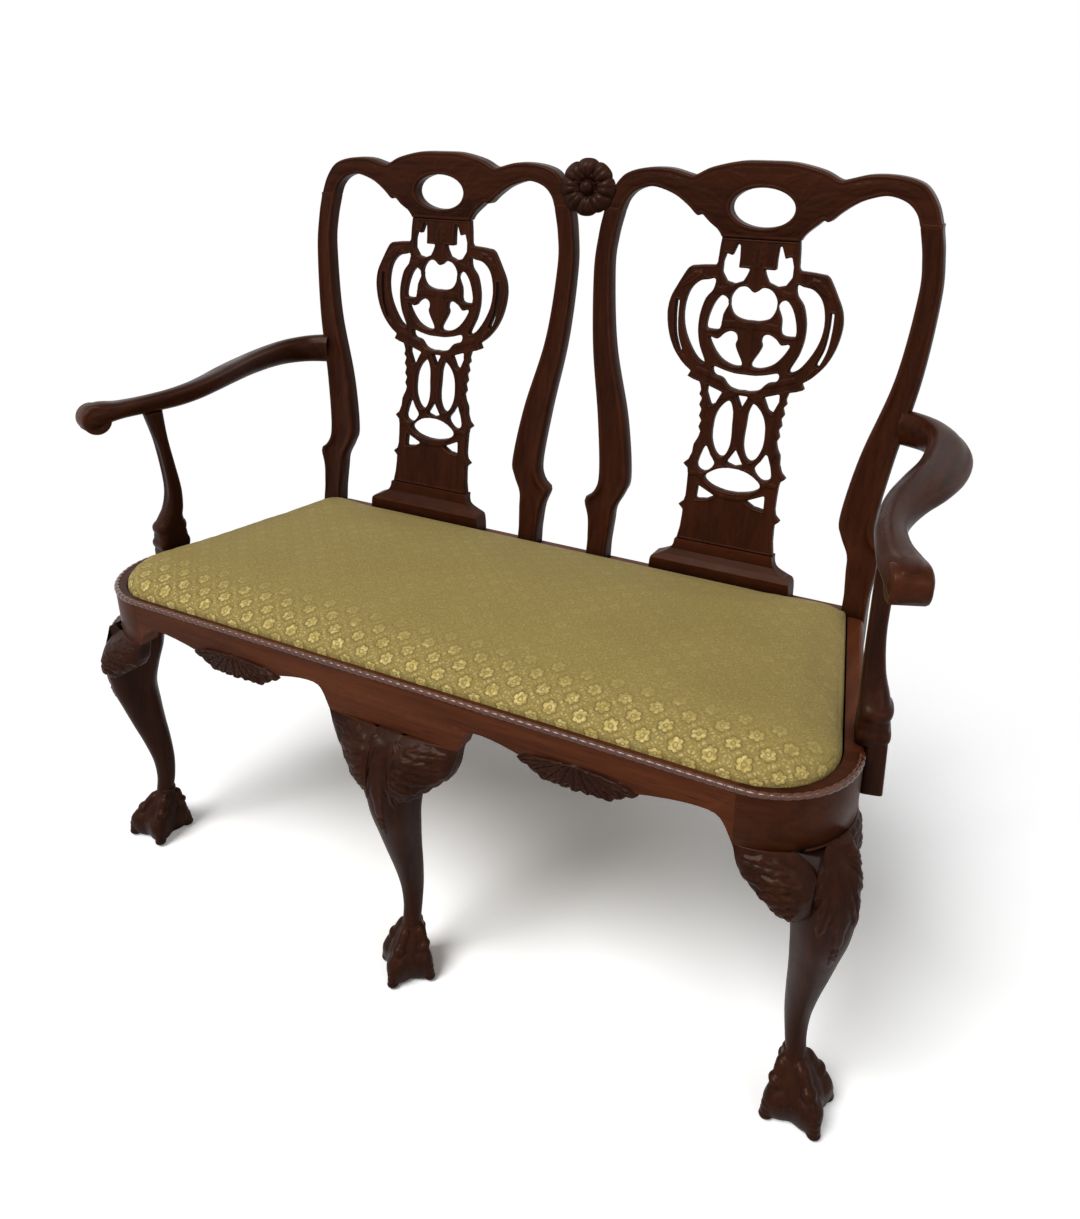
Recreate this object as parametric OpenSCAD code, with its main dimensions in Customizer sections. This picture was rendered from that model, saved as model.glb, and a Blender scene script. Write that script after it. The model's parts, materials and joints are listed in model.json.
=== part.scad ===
// Chair-back settee: two pierced chair-backs, open arms, a drop-in seat and three cabriole front legs.
// X runs across the settee, the front faces -Y, and the feet stand on Z = 0.

/* [Overall] */
// Height from the floor to the top of the crest rails
overall_h = 1000; // [960:5:1040]
// Height of the top edge of the seat rails
seat_h = 445; // [435:1:455]
// Width of a chair-back over its posts
back_w = 464; // [450:1:476]
// Space between the two chair-backs where they are widest
back_apart = 31; // [27:1:35]
// How far the front corners of the seat stand out beyond the back posts
front_flare = 73.5; // [70:0.5:78]
// Depth from the face of the front rail to the front of the back posts
seat_depth = 420; // [405:1:440]
// Radius of the rounded front corners
corner_r = 100; // [94:1:106]

/* [Seat rails] */
// Depth of the seat rails where the legs join
rail_h = 67; // [62:1:70]
// Thickness of the front rail
front_rail_t = 28; // [26:1:32]
// Thickness of the side rails
side_rail_t = 36; // [34:1:40]
// Width of the lip in front of the drop-in seat
front_lip = 11; // [10:1:13]
// Width of the lip beside the drop-in seat
side_lip = 21; // [20:1:23]
// Depth of the rebate that holds the drop-in seat
rebate_d = 22; // [21:1:24]
// Width of the ledge on the back rail
back_ledge = 14; // [12:1:16]
// Radius of the moulded top edge
edge_mould_r = 6; // [4:0.5:8]
// Rise of the arches in the front rail's lower edge
apron_rise = 32; // [28:1:34]
// Width of the carved pendants of the front rail
pendant_w = 96; // [88:1:104]
// Width of the middle brace
brace_w = 44; // [36:1:60]
// Length of a corner block along the back rail
corner_block_l = 62; // [56:1:70]

/* [Back] */
// Backward rake of the posts just above the seat, in degrees
back_rake = 11.5; // [10:0.5:13]
// How far the posts curl forward again at the crest
back_bow = 27; // [20:1:32]
// Thickness of the posts from front to back, at the seat
post_t = 28; // [26:1:32]
// Thickness of the posts and crest rails from front to back, at the top
crest_t = 23; // [21:1:26]
// Setback of the splat behind the front of the posts
splat_inset = 9; // [7:1:10]
// Thickness of the splats
splat_t = 11; // [9:1:12]
// Thickness of the shoes in front of and behind the splats
shoe_wall = 3.5; // [3:0.5:5]
// Width of the slots in the outer scrolls of the splats
slot_w = 4; // [3:0.5:5]
// How far the rosette laps over each crest rail
rosette_lap = 2; // [1:0.5:5]
// Height of the rosette
rosette_h = 70; // [64:1:76]
// Thickness of the carved front of the rosette
petal_t = 9; // [6:1:12]

/* [Legs] */
// Backward sweep of the rear feet
rear_sweep = 72; // [55:1:80]
// Thickness of the rear legs at the floor
rear_foot_t = 26; // [24:1:28]
// Width of the middle rear leg
rear_mid_w = 34; // [30:1:40]
// Shift of the corner legs from the corner's diagonal, towards the side
corner_leg_shift = 24; // [18:1:28]
// Reach of a knee bracket from the side of its leg
bracket_l = 62; // [56:1:66]
// Drop of a knee bracket below the rail
bracket_h = 76; // [70:1:82]
// Thickness of a knee bracket at its outer end
bracket_t = 18; // [15:1:22]

/* [Arms] */
// Height of the flat underside of the arms over their supports, above the seat rails
arm_h = 215; // [205:1:225]
// Fall of the arms from the back posts to their supports
arm_rise = 54; // [48:1:60]
// Greatest width of the arms
arm_w = 60; // [56:1:64]
// Depth of the housing that the arms fit in, at the bottom of the joint
arm_housing = 3; // [2:0.5:4]
// Distance of the arm supports behind the face of the front rail
support_y = 155; // [152:1:168]
// Thickness of the arm supports' foot outside the side rails
support_foot_t = 25; // [24:1:28]
// Drop of the arm supports' foot below the top of the side rails
support_foot_drop = 60; // [56:1:61]

/* [Drop-in seat] */
// Space between the drop-in seat and the rebate
seat_gap = 2; // [1.5:0.5:3]
// Thickness of the seat frame's members
seat_frame_t = 19; // [17:1:19.5]
// Width of the seat frame's members
seat_frame_w = 58; // [52:1:62]
// Thickness of the cover
cover_t = 1.2; // [1:0.1:1.5]
// Width of the cover's margin turned under the frame
cover_margin = 34; // [30:1:38]
// Width of the rounded edge of the cushion
cushion_edge = 60; // [50:1:66]
// Height of the cushion's crown above the top of the rails
crown_h = 40; // [34:1:46]
// Width of a webbing strip
web_w = 50; // [45:1:55]
// Thickness of a webbing strip
web_t = 1; // [0.8:0.1:1.2]
// Thickness of the hessian
hessian_t = 0.8; // [0.6:0.1:1]

/* [Fasteners] */
// Diameter of the wood screws
screw_d = 5; // [4:0.5:6]
// Length of the wood screws
screw_l = 42; // [40:1:44]
// Diameter of the screw heads
screw_head_d = 9; // [8:0.5:10]
// Depth of the screw heads
screw_head_t = 4; // [3:0.5:5]
// Diameter of the leg dowels
dowel_d = 12; // [10:1:13]
// Length of the leg dowels
dowel_l = 44; // [36:1:48]
// Diameter of the cover's tack heads
tack_d = 7; // [6:0.5:8]
// Thickness of the cover's tack heads
tack_t = 1.2; // [0.8:0.1:1.5]

/* [Fit] */
// Clearance between neighbouring pieces that don't bear on each other
fit_gap = 0.3; // [0.2:0.05:0.4]
// How far every cut runs past the surface that it opens
overrun = 5; // [4:1:6]

/* [Hidden] */
$fn = 48;
SIDES = ["left", "right"];

wood = "#4a2417";
wood_dark = "#38190f";
fabric = "#8b7948";
jute = "#a08a62";
brass = "#8a7440";

half_back = back_w / 2;
half_pitch = half_back + back_apart / 2;
rail_z = seat_h - rail_h;
ledge_z = seat_h - rebate_d;
back_len = overall_h - seat_h;
rear_y = seat_depth + post_t;
brace_top = ledge_z - cover_t - tack_t - fit_gap;
brace_z = rail_z + rail_h / 6;

// Chair-back outlines, as [x from its middle, z above the seat rails]
// in shares of half its width and of its height
post_outer_shares = [[.957, .874], [.983, .82], [1, .73], [.97, .55], [.897, .369], [.853, .225],
    [.879, .177], [.935, .153], [.901, .108], [.884, .045]];
post_inner_shares = [[.845, .874], [.875, .811], [.884, .73], [.832, .55], [.711, .369], [.653, .225],
    [.677, .18], [.724, .139], [.733, .099], [.746, .045]];
crest_top_shares = [[0, 1], [.151, .998], [.31, .984], [.405, .966], [.448, .968], [.56, .978],
    [.69, .978], [.797, .969], [.862, .953], [.918, .919], [.957, .874]];
crest_under_shares = [[.845, .874], [.819, .901], [.767, .923], [.69, .934], [.621, .933], [.517, .919],
    [.431, .895], [.375, .876], [.31, .867], [.25, .845], [.224, .829]];
crest_oval_shares = [0, .898, .185, .044];

// Splat: the outline of its right half, and its piercings on that side and on its middle, in the same shares
neck_edge_shares = [[0, .829], [.224, .829], [.231, .802], [.235, .771], [.246, .765], [.319, .763],
    [.39, .759]];
scroll_edge_shares = [[.39, .759], [.416, .75], [.468, .712], [.502, .681], [.513, .645], [.494, .6],
    [.45, .56], [.388, .53], [.332, .513]];
waist_edge_shares = [[.349, .499], [.31, .493], [.267, .488], [.254, .47], [.263, .459], [.244, .45],
    [.256, .434], [.239, .423], [.25, .407], [.233, .396], [.246, .38], [.231, .369], [.241, .353],
    [.263, .337], [.267, .315], [.284, .297], [.315, .286], [.284, .276], [.278, .261], [.276, .234],
    [.276, .207], [.284, .193], [.315, .182], [.284, .171], [.284, .153], [.289, .126], [.302, .096],
    [0, .096]];
leaf_shares = [[.041, .762], [.108, .762], [.107, .784], [.11, .813], [.127, .817], [.153, .789],
    [.19, .794], [.205, .773], [.205, .75], [.172, .73], [.125, .725], [.073, .733], [.054, .748]];
eye_shares = [[.185, .697], [.228, .679], [.256, .649], [.265, .622], [.246, .616], [.181, .62],
    [.17, .654], [.142, .683]];
drop_shares = [[.239, .598], [.19, .595], [.157, .607], [.112, .616], [.078, .611], [.069, .598],
    [.078, .587], [.062, .571], [.028, .546], [.037, .537], [.091, .537], [.157, .55], [.209, .573]];
crescent_shares = [[.237, .733], [.276, .731], [.328, .726], [.375, .71], [.403, .685], [.414, .649],
    [.399, .611], [.358, .575], [.302, .544], [.25, .536], [.291, .573], [.31, .604], [.315, .631],
    [.307, .658], [.284, .688], [.244, .71]];
slot_shares = [[.453, .677], [.453, .64], [.44, .595], [.405, .557]];
oval_shares = [[.078, .452], [.125, .434], [.153, .409], [.16, .378], [.155, .351], [.129, .326],
    [.095, .314], [.065, .321], [.043, .341], [.037, .366], [.041, .396], [.043, .423], [.056, .443]];
corner_shares = [[.125, .47], [.218, .483], [.218, .465], [.188, .436], [.159, .441]];
low_corner_shares = [[.19, .337], [.228, .29], [.207, .275], [.164, .275], [.121, .295], [.151, .315]];
foot_corner_shares = [[.095, .217], [.207, .238], [.211, .202], [.147, .205]];
heart_shares = [[0, .708], [.047, .721], [.099, .716], [.134, .697], [.136, .676], [.108, .654],
    [.052, .645], [0, .644], [-.052, .645], [-.108, .654], [-.136, .676], [-.134, .697], [-.099, .716],
    [-.047, .721]];
moon_shares = [[0, .518], [.065, .519], [.129, .523], [.19, .53], [.198, .52], [.181, .509],
    [.134, .504], [.091, .486], [.034, .479], [0, .48], [-.034, .479], [-.091, .486], [-.134, .504],
    [-.181, .509], [-.198, .52], [-.19, .53], [-.129, .523], [-.065, .519]];
lens_shares = [[-.172, .261], [-.091, .286], [0, .291], [.091, .286], [.172, .261], [.134, .243],
    [.056, .234], [0, .232], [-.056, .234], [-.134, .243]];
high_v_shares = [[-.034, .468], [.034, .468], [0, .438]];
low_v_shares = [[0, .338], [.052, .303], [0, .296], [-.052, .303]];
shoe_shares = [[.306, .096], [.312, .081], [.336, .067], [.388, .056], [.431, .047], [.44, .023]];
shoe_top_share = .096;
shoe_cove_shares = [[.06, .045], [.37, .058], [.87, .07], [1, .096]];

// Lower edge of the front rail from the middle of a pendant to the end of its span:
// rows of share of the pendant, share of the arch, rise
apron_shares = [[0, 0, .17], [.3, 0, .25], [.55, 0, .19], [.9, 0, .2], [1, .03, .4], [1, .14, .64],
    [1, .45, .9], [1, .7, 1], [1, .85, .93], [1, .92, .66], [1, .965, .3], [1, 1, 0]];

// Arm support in shares of its height: rows of height, front and back, and its outer side from the front
support_side_shares = [[0, -.078, .076], [.21, -.08, .078], [.33, -.08, .08], [.37, -.072, .076],
    [.41, -.048, .07], [.46, -.024, .078], [.56, -.004, .08], [.7, -.01, .062], [.85, -.026, .044],
    [1, -.058, .04]];
support_outer_shares = [[.083, .36], [.07, .41], [.046, .5], [.03, .66], [.032, .85], [.042, 1]];
support_inner_share = .042;

// Cabriole leg: rows of height, front, back and half width in shares of the leg's height,
// then the squareness of the section and the reach of the claws
leg_shares = [[1, .012, -.14, .082, 4, 0], [.955, .052, -.138, .086, 4, 0], [.885, .08, -.128, .086, 3.6, 0],
    [.8, .092, -.1, .083, 3, 0], [.71, .087, -.078, .075, 2.6, 0], [.62, .063, -.08, .0645, 2.4, 0],
    [.53, .037, -.085, .0545, 2.3, 0], [.435, .008, -.0925, .0455, 2.2, 0],
    [.345, -.0125, -.0945, .0375, 2.1, 0], [.265, -.0155, -.086, .032, 2, 0],
    [.205, -.006, -.073, .031, 2, .03], [.16, .022, -.062, .043, 2, .16],
    [.11, .066, -.074, .072, 2, .2], [.055, .085, -.079, .08, 2, .28],
    [.02, .078, -.068, .07, 2, .36], [0, .05, -.046, .047, 2, .3]];
leg_sides = 32;
claws = 4;
claw_edge = 3;
claw_reach = rail_z * max([for (row = leg_shares)
    (row[1] + row[2]) / 2 + (row[1] - row[2]) / 2 * (1 + row[5])]);

// Knee bracket, rows of distance from its outer end and drop, in shares of its reach and of its drop
bracket_shares = [[0, 0], [.04, .1], [.08, .26], [.14, .44], [.24, .58], [.42, .7], [.62, .82], [.85, .95],
    [1.05, 1]];
corner_bracket_share = .84;
// Front of a bracket, rows of distance from its outer end and bulge, in shares of its reach
centre_bulge_shares = [[-.02, 0], [.3, .08], [.6, .2], [.85, .27], [1.05, .3], [1.1, .3]];
corner_bulge_shares = [[-.02, 0], [.3, .06], [.6, .13], [.9, .12], [1.2, -.04], [1.35, -.2], [1.4, -.28]];
side_bulge_shares = [[-.02, 0], [.3, .03], [.6, .04], [.85, -.04], [1.0, -.14], [1.1, -.22], [1.2, -.28]];
side_bracket_share = .2;

// Arm: rows of length, reach, width, top, underside and outward slope of the top
arm_shares = [[0, 0, .5, 1, .19, 0], [.012, .165, .54, 1, .19, 0], [.04, .4, .64, .995, .19, .08],
    [.103, .61, .76, .97, .19, .18], [.19, .72, .9, .92, .18, .3], [.31, .73, 1, .83, .15, .36],
    [.43, .654, .98, .74, .12, .34], [.53, .565, .83, .65, .08, .26], [.61, .525, .66, .58, .03, .18],
    [.68, .528, .54, .52, 0, .12], [.74, .56, .51, .48, 0, .1], [.82, .66, .6, .44, 0, .1],
    [.887, .78, .77, .38, 0, .1], [.94, .888, .84, .28, -.16, .1], [.983, .963, .74, .12, -.26, .05],
    [1.002, 1, .5, -.04, -.25, 0]];
arm_at_support = [.779, .605];
arm_section_shares = [[.2, 0], [.36, .06], [.47, .24], [.5, .48], [.45, .74], [.28, .94], [0, 1], [-.28, .94],
    [-.45, .74], [-.5, .48], [-.47, .24], [-.36, .06], [-.2, 0]];

// Cushion: rows of inset in shares of its edge and height in shares of its crown,
// then rings of the crown: scale of the edge's ring, height, and how far it is rounded to an ellipse
edge_shares = [[0, 0], [.04, .17], [.14, .35], [.34, .49], [.68, .6], [1, .66]];
crown_shares = [[.82, .79, .12], [.6, .9, .35], [.36, .975, .7], [.16, 1, 1]];
stuffing_round_share = .04;

rosette_share = .928;
petals = 8;
petal_shares = [[1, 0], [1, .3], [.9, .62], [.72, .72], [.52, .66], [.4, .42], [.32, .6], [.2, .95],
    [.02, 1]];
petal_wave_shares = [0, .06, .16, .22, .2, .06, 0, 0, 0];

// Curves and outlines

function blend_point(a, b, c, d, t) =
    (2 * b + (c - a) * t + (2 * a - 5 * b + 4 * c - d) * t * t + (3 * b - a - 3 * c + d) * t * t * t) / 2;
// Smooth curve through a list of points, with a number of steps from each to the next
function smooth(p, steps) = let (last = len(p) - 1) concat(
    [for (i = [0:last - 1]) for (k = [0:steps - 1])
        blend_point(p[max(i - 1, 0)], p[i], p[i + 1], p[min(i + 2, last)], k / steps)],
    [p[last]]);
function sized(shares, size) = [for (s = shares) s * size];
function backwards(p) = [for (i = [len(p) - 1:-1:0]) p[i]];
function flipped(p) = [for (q = p) [-q[0], q[1]]];
function unit(v) = v / norm(v);
function square_to(v) = [-v[1], v[0]];
function heading(p, i) = unit(p[min(i + 1, len(p) - 1)] - p[max(i - 1, 0)]);
function arc(centre, r, from, to, steps) =
    [for (i = [0:steps]) let (a = from + (to - from) * i / steps) centre + r * [cos(a), sin(a)]];
function oval(c, a, b) = [for (t = [0:10:350]) c + [a * cos(t), b * sin(t)]];
// Points, lines and ovals of a chair-back from their shares
function on_back(s) = [s[0] * half_back, seat_h + s[1] * back_len];
function back_line(shares) = [for (s = shares) on_back(s)];
function back_oval(s, grow) = oval(on_back(s), s[2] * half_back + grow, s[3] * back_len + grow);
// Smooth closed line through a list of points
function loop(p, steps) = let (n = len(p)) [for (i = [0:n - 1]) for (k = [0:steps - 1])
    blend_point(p[(i + n - 1) % n], p[i], p[(i + 1) % n], p[(i + 2) % n], k / steps)];
function strap(p, w) = concat(
    [for (i = [0:len(p) - 1]) p[i] + square_to(heading(p, i)) * w / 2],
    [for (i = [len(p) - 1:-1:0]) p[i] - square_to(heading(p, i)) * w / 2]);
// Value of a curve at a height, from a list of [value, height]
function at_height(p, z) = lookup(z, [for (q = p) [q[1], q[0]]]);

// Depth of the front of the back posts and rear legs, and their thickness, at a height
function back_y(z) = z >= seat_h
    ? seat_depth + (z - seat_h) * tan(back_rake) - back_bow * pow((z - seat_h) / back_len, 2)
    : seat_depth + rear_sweep * pow(max(rail_z - z, 0) / rail_z, 1.6);
function back_t(z) = z >= seat_h
    ? post_t + (crest_t - post_t) * (z - seat_h) / back_len
    : post_t + (rear_foot_t - post_t) * max(rail_z - z, 0) / rail_z;

post_outer = smooth(back_line(post_outer_shares), 4);
post_inner = smooth(back_line(post_inner_shares), 4);
post_foot_out = post_outer[len(post_outer) - 1][0];
post_foot_in = post_inner[len(post_inner) - 1][0];
mid_y = (back_y(overall_h) + crest_t - claw_reach) / 2;

seat_front_w = 2 * (half_pitch + post_foot_out + front_flare);

// The side rail lies on the line from the outer post to the rounded corner
corner_c = [seat_front_w / 2 - corner_r, corner_r];
rail_end = [half_pitch + post_foot_out, seat_depth];
side_a = atan2(rail_end[1] - corner_c[1], rail_end[0] - corner_c[0])
    - acos(corner_r / norm(rail_end - corner_c));
side_n = [cos(side_a), sin(side_a)];
side_dir = square_to(side_n);
side_start = corner_c + corner_r * side_n;
side_l = (seat_depth - side_start[1]) / cos(side_a);
rear_half = half_pitch + post_foot_in;

// Plan of the seat with its front, sides and back moved in by three distances
function plan_r(front_in, side_in) = corner_r - (front_in + side_in) / 2;
function plan_c(front_in, side_in) = let (r = plan_r(front_in, side_in)) [
    corner_c[0] + (corner_r - side_in - r - side_n[1] * (front_in + r - corner_r)) / side_n[0],
    front_in + r];
function half_plan(front_in, side_in, back_in) =
    let (c = plan_c(front_in, side_in), r = plan_r(front_in, side_in), end_y = seat_depth - back_in,
        s = c + r * side_n, e = s + side_dir * (end_y - s[1]) / cos(side_a))
    concat([for (k = [0:2]) [c[0] * k / 3, front_in]], arc(c, r, -90, side_a, 8),
        [(s + e) / 2, e, [e[0] / 2, end_y]]);
function seat_plan(front_in, side_in, back_in) = let (h = half_plan(front_in, side_in, back_in))
    concat(h, [[0, seat_depth - back_in]], [for (i = [len(h) - 1:-1:1]) [-h[i][0], h[i][1]]]);
function moved_in(d) = seat_plan(front_lip + seat_gap + d, side_lip + seat_gap + d, seat_gap + d);

// Placing

// Sets a piece in the settee's frame, with the origin under the middle of its box
module settee() translate([0, -mid_y, 0]) children();
// Turns a right-hand piece into the named side's
module on_side(side) mirror([side == "left" ? 1 : 0, 0, 0]) children();
// Raises a front view, drawn in x and z, between two depths
module front_view(y0, y1) translate([0, y1, 0]) rotate([90, 0, 0]) linear_extrude(y1 - y0) children();
// Raises a side view, drawn in y and z, between two positions across
module side_view(x0, x1) translate([x0, 0, 0]) rotate([90, 0, 90]) linear_extrude(x1 - x0) children();
// Frame of the right side rail: x out of its face, y backward along it
module along_side() translate([side_start[0], side_start[1], 0]) rotate([0, 0, side_a]) children();
module both_halves() {
    children();
    mirror([1, 0]) children();
}

// Solid through rings of equally many points, each ring right-handed about the way to the next
module loft(rings) {
    n = len(rings[0]);
    m = len(rings);
    polyhedron(
        points = [for (r = rings) for (p = r) p],
        faces = concat(
            [[for (k = [0:n - 1]) k]],
            [for (i = [0:m - 2]) for (k = [0:n - 1])
                let (a = i * n + k, b = i * n + (k + 1) % n) each [[a, a + n, b + n], [a, b + n, b]]],
            [[for (k = [n - 1:-1:0]) (m - 1) * n + k]]),
        convexity = 6);
}

// Seat rails

function rail_section(t) = concat([[0, rail_z], [t, rail_z], [t, seat_h]],
    arc([edge_mould_r, seat_h - edge_mould_r], edge_mould_r, 90, 180, 5));

module seat_well() {
    translate([0, 0, ledge_z])
        linear_extrude(rebate_d + overrun) polygon(seat_plan(front_lip, side_lip, 0));
}

// Arches below the front rail on one side of a pendant
module apron_gap(way, half) {
    arch = half - pendant_w / 2;
    edge = [for (s = smooth(apron_shares, 2))
        [half_pitch + way * (s[0] * pendant_w / 2 + s[1] * arch), rail_z + s[2] * apron_rise]];
    polygon(concat(edge, [[half_pitch + way * half, rail_z - overrun], [half_pitch, rail_z - overrun]]));
}
leg_top_half = rail_z * max([for (row = leg_shares) row[0] > bracket_h / rail_z ? row[3] : 0]);
ear_x = leg_top_half + bracket_l;

module front_rail() {
    color(wood) settee() difference() {
        side_view(-corner_c[0], corner_c[0]) polygon(rail_section(front_rail_t));
        seat_well();
        front_view(-overrun, front_rail_t + overrun) both_halves() {
            apron_gap(1, corner_c[0] - half_pitch);
            apron_gap(-1, half_pitch - ear_x);
        }
        all_dowels(fit_gap);
    }
}

module rail_corner(side) {
    color(wood) settee() difference() {
        on_side(side) translate([corner_c[0], corner_c[1], 0]) rotate([0, 0, -90])
            rotate_extrude(angle = 90 + side_a) polygon(concat([[0, rail_z], [corner_r, rail_z]],
                arc([corner_r - edge_mould_r, seat_h - edge_mould_r], edge_mould_r, 0, 90, 5),
                [[0, seat_h]]));
        seat_well();
        all_dowels(fit_gap);
    }
}

module side_rail(side) {
    color(wood) settee() on_side(side) difference() {
        intersection() {
            along_side() translate([0, side_l + side_rail_t, 0]) rotate([90, 0, 0])
                linear_extrude(side_l + side_rail_t) polygon(flipped(rail_section(side_rail_t)));
            cube([seat_front_w, seat_depth, overall_h]);
        }
        seat_well();
        support_screw_holes();
    }
}

module rear_rail() {
    ledge_x = side_inner_x(seat_depth);
    half = [[block_x, block_y], [ledge_x, seat_depth], [rear_half, seat_depth], [rear_half, rear_y]];
    color(wood) settee() difference() {
        translate([0, 0, rail_z]) linear_extrude(rail_h) polygon(concat(half, backwards(flipped(half))));
        translate([-rear_half - overrun, seat_depth - back_ledge - overrun, ledge_z])
            cube([2 * (rear_half + overrun), back_ledge + overrun, rebate_d + overrun]);
        corner_screw_holes();
        all_dowels(fit_gap);
    }
}

module centre_brace() {
    color(wood_dark) settee() translate([-brace_w / 2, front_rail_t, brace_z])
        cube([brace_w, seat_depth - back_ledge - front_rail_t, brace_top - brace_z]);
}

// Inner face of the side rail, across, at a depth
function side_inner_x(y) = side_start[0] - side_rail_t / cos(side_a) - (y - side_start[1]) * tan(side_a);
block_y = seat_depth - back_ledge;
block_x = side_inner_x(block_y);

module corner_blocks() {
    far_y = block_y - corner_block_l;
    far_x = side_inner_x(far_y);
    color(wood_dark) settee() difference() {
        for (side = SIDES) on_side(side) translate([0, 0, brace_z]) linear_extrude(brace_top - brace_z)
            polygon([[block_x - corner_block_l, block_y], [far_x - corner_block_l / 5, far_y],
                [far_x, far_y], [block_x, block_y]]);
        corner_screw_holes();
    }
}

// Screws, each along +Y from its head

module screw(grow) {
    translate([0, screw_head_t - grow, 0]) rotate([-90, 0, 0])
        cylinder(d = screw_d + grow, h = screw_l - screw_head_t + 2 * grow);
    rotate([-90, 0, 0]) cylinder(d = screw_head_d + grow, h = screw_head_t);
}
module screw_hole(head_depth) {
    screw(fit_gap);
    translate([0, -head_depth, 0]) rotate([-90, 0, 0])
        cylinder(d = screw_head_d + fit_gap, h = head_depth + screw_head_t);
}
module corner_screw_place() {
    for (side = SIDES) on_side(side) translate([block_x - corner_block_l * .45, block_y - screw_l * .4,
        (brace_z + brace_top) / 2]) children();
}
module corner_screw_holes() {
    corner_screw_place() screw_hole(corner_block_l);
}
module corner_screws() {
    color(brass) settee() corner_screw_place() screw(0);
}
support_l = (support_y - side_start[1]) / cos(side_a);
module support_screw_place() {
    for (share = [.25, .55]) along_side()
        translate([support_foot_t * .75 - screw_l, support_l, rail_z + (ledge_z - rail_z) * share])
        rotate([0, 0, -90]) children();
}
module support_screw_holes() {
    support_screw_place() screw_hole(side_rail_t);
}
module support_screws() {
    color(brass) settee() for (side = SIDES) on_side(side) support_screw_place() screw(0);
}

// Front legs

function leg_ring(row) =
    let (z = row[0] * rail_z, front = row[1] * rail_z, back = row[2] * rail_z, half = row[3] * rail_z)
    [for (k = [0:leg_sides - 1])
        let (a = 360 * k / leg_sides, e = 2 / row[4],
            reach = 1 + row[5] * pow(abs(cos(claws / 2 * a)), claw_edge))
        [half * reach * sign(cos(a)) * pow(abs(cos(a)), e),
         (front - back) / 2 * reach * sign(sin(a)) * pow(abs(sin(a)), e) - (front + back) / 2, z]];
module cabriole_leg() {
    loft([for (row = backwards(smooth(leg_shares, 2))) leg_ring(row)]);
}

// A corner leg faces out along the diagonal, from a point beside the corner's own
corner_leg_at = corner_c + corner_r * [cos(-45), sin(-45)] + corner_leg_shift * [cos(45), sin(45)];
module corner_leg_frame() translate([corner_leg_at[0], corner_leg_at[1], 0]) rotate([0, 0, 45]) children();

module dowel(grow) translate([0, 0, rail_z - dowel_l / 2]) cylinder(d = dowel_d + grow, h = dowel_l);
module all_dowels(grow) {
    for (x = [-1, 1] * dowel_d * 1.3) translate([x, front_rail_t / 2, 0]) dowel(grow);
    for (side = SIDES) on_side(side) corner_leg_frame() for (y = [.6, 1.5] * front_rail_t)
        translate([0, y, 0]) dowel(grow);
    translate([0, seat_depth + post_t / 2, 0]) dowel(grow);
}
module leg_dowels() {
    color(wood_dark) settee() all_dowels(0);
}
module front_leg_centre() {
    color(wood) settee() difference() {
        cabriole_leg();
        all_dowels(fit_gap);
    }
}
module front_leg(side) {
    color(wood) settee() difference() {
        on_side(side) corner_leg_frame() cabriole_leg();
        all_dowels(fit_gap);
    }
}

// Knee bracket, running from its outer end at x = 0 towards its leg in +x, behind a bulging front
module bracket(bulge_shares, drop) {
    bulge = smooth(sized(bulge_shares, bracket_l), 3);
    end = bulge[len(bulge) - 1][0];
    intersection() {
        front_view(-bracket_l, bracket_t) polygon(concat(
            smooth([for (s = bracket_shares) [s[0] * bracket_l, rail_z - s[1] * drop]], 3),
            [[end + overrun, rail_z - drop], [end + overrun, rail_z]]));
        translate([0, 0, rail_z - bracket_h - overrun]) linear_extrude(bracket_h + 2 * overrun)
            polygon(concat([for (p = bulge) [p[0], -p[1]]], [[end, bracket_t], [bulge[0][0], bracket_t]]));
    }
}
module leg_seat() {
    half = leg_top_half + fit_gap;
    translate([-half, -seat_depth, 0]) cube([2 * half, 2 * seat_depth, overall_h]);
}
module bracket_centre(side) {
    color(wood) settee() on_side(side) difference() {
        translate([ear_x, 0, 0]) mirror([1, 0, 0]) bracket(centre_bulge_shares, bracket_h);
        leg_seat();
    }
}
module bracket_front(side) {
    color(wood) settee() on_side(side) difference() {
        translate([corner_c[0], 0, 0]) bracket(corner_bulge_shares, corner_bracket_share * bracket_h);
        corner_leg_frame() leg_seat();
    }
}
module bracket_side(side) {
    color(wood) settee() on_side(side) difference() {
        along_side() translate([0, side_bracket_share * bracket_l, 0]) rotate([0, 0, -90]) mirror([0, 1, 0])
            bracket(side_bulge_shares, corner_bracket_share * bracket_h);
        corner_leg_frame() leg_seat();
    }
}

// Back

// Slab that follows the rake of the back between two heights
module back_slab(z0, z1, inset, t) {
    zs = [for (i = [0:14]) z0 + (z1 - z0) * i / 14];
    side_view(-seat_front_w / 2, seat_front_w / 2) polygon(concat(
        [for (z = zs) [back_y(z) + inset, z]],
        [for (z = backwards(zs)) [back_y(z) + inset + (t > 0 ? t : back_t(z)), z]]));
}
module chair_back(side) on_side(side) translate([half_pitch, 0, 0]) children();
module back_cut() front_view(seat_depth - overrun, rear_y + seat_depth / 2) children();

arm_front_z = seat_h + arm_h;
arm_rear_z = arm_front_z + arm_rise;
arm_bottom = arm_front_z + arm_shares[0][4] * arm_rise;
arm_seat_x = half_pitch + at_height(post_outer, arm_bottom) - arm_housing;

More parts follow.
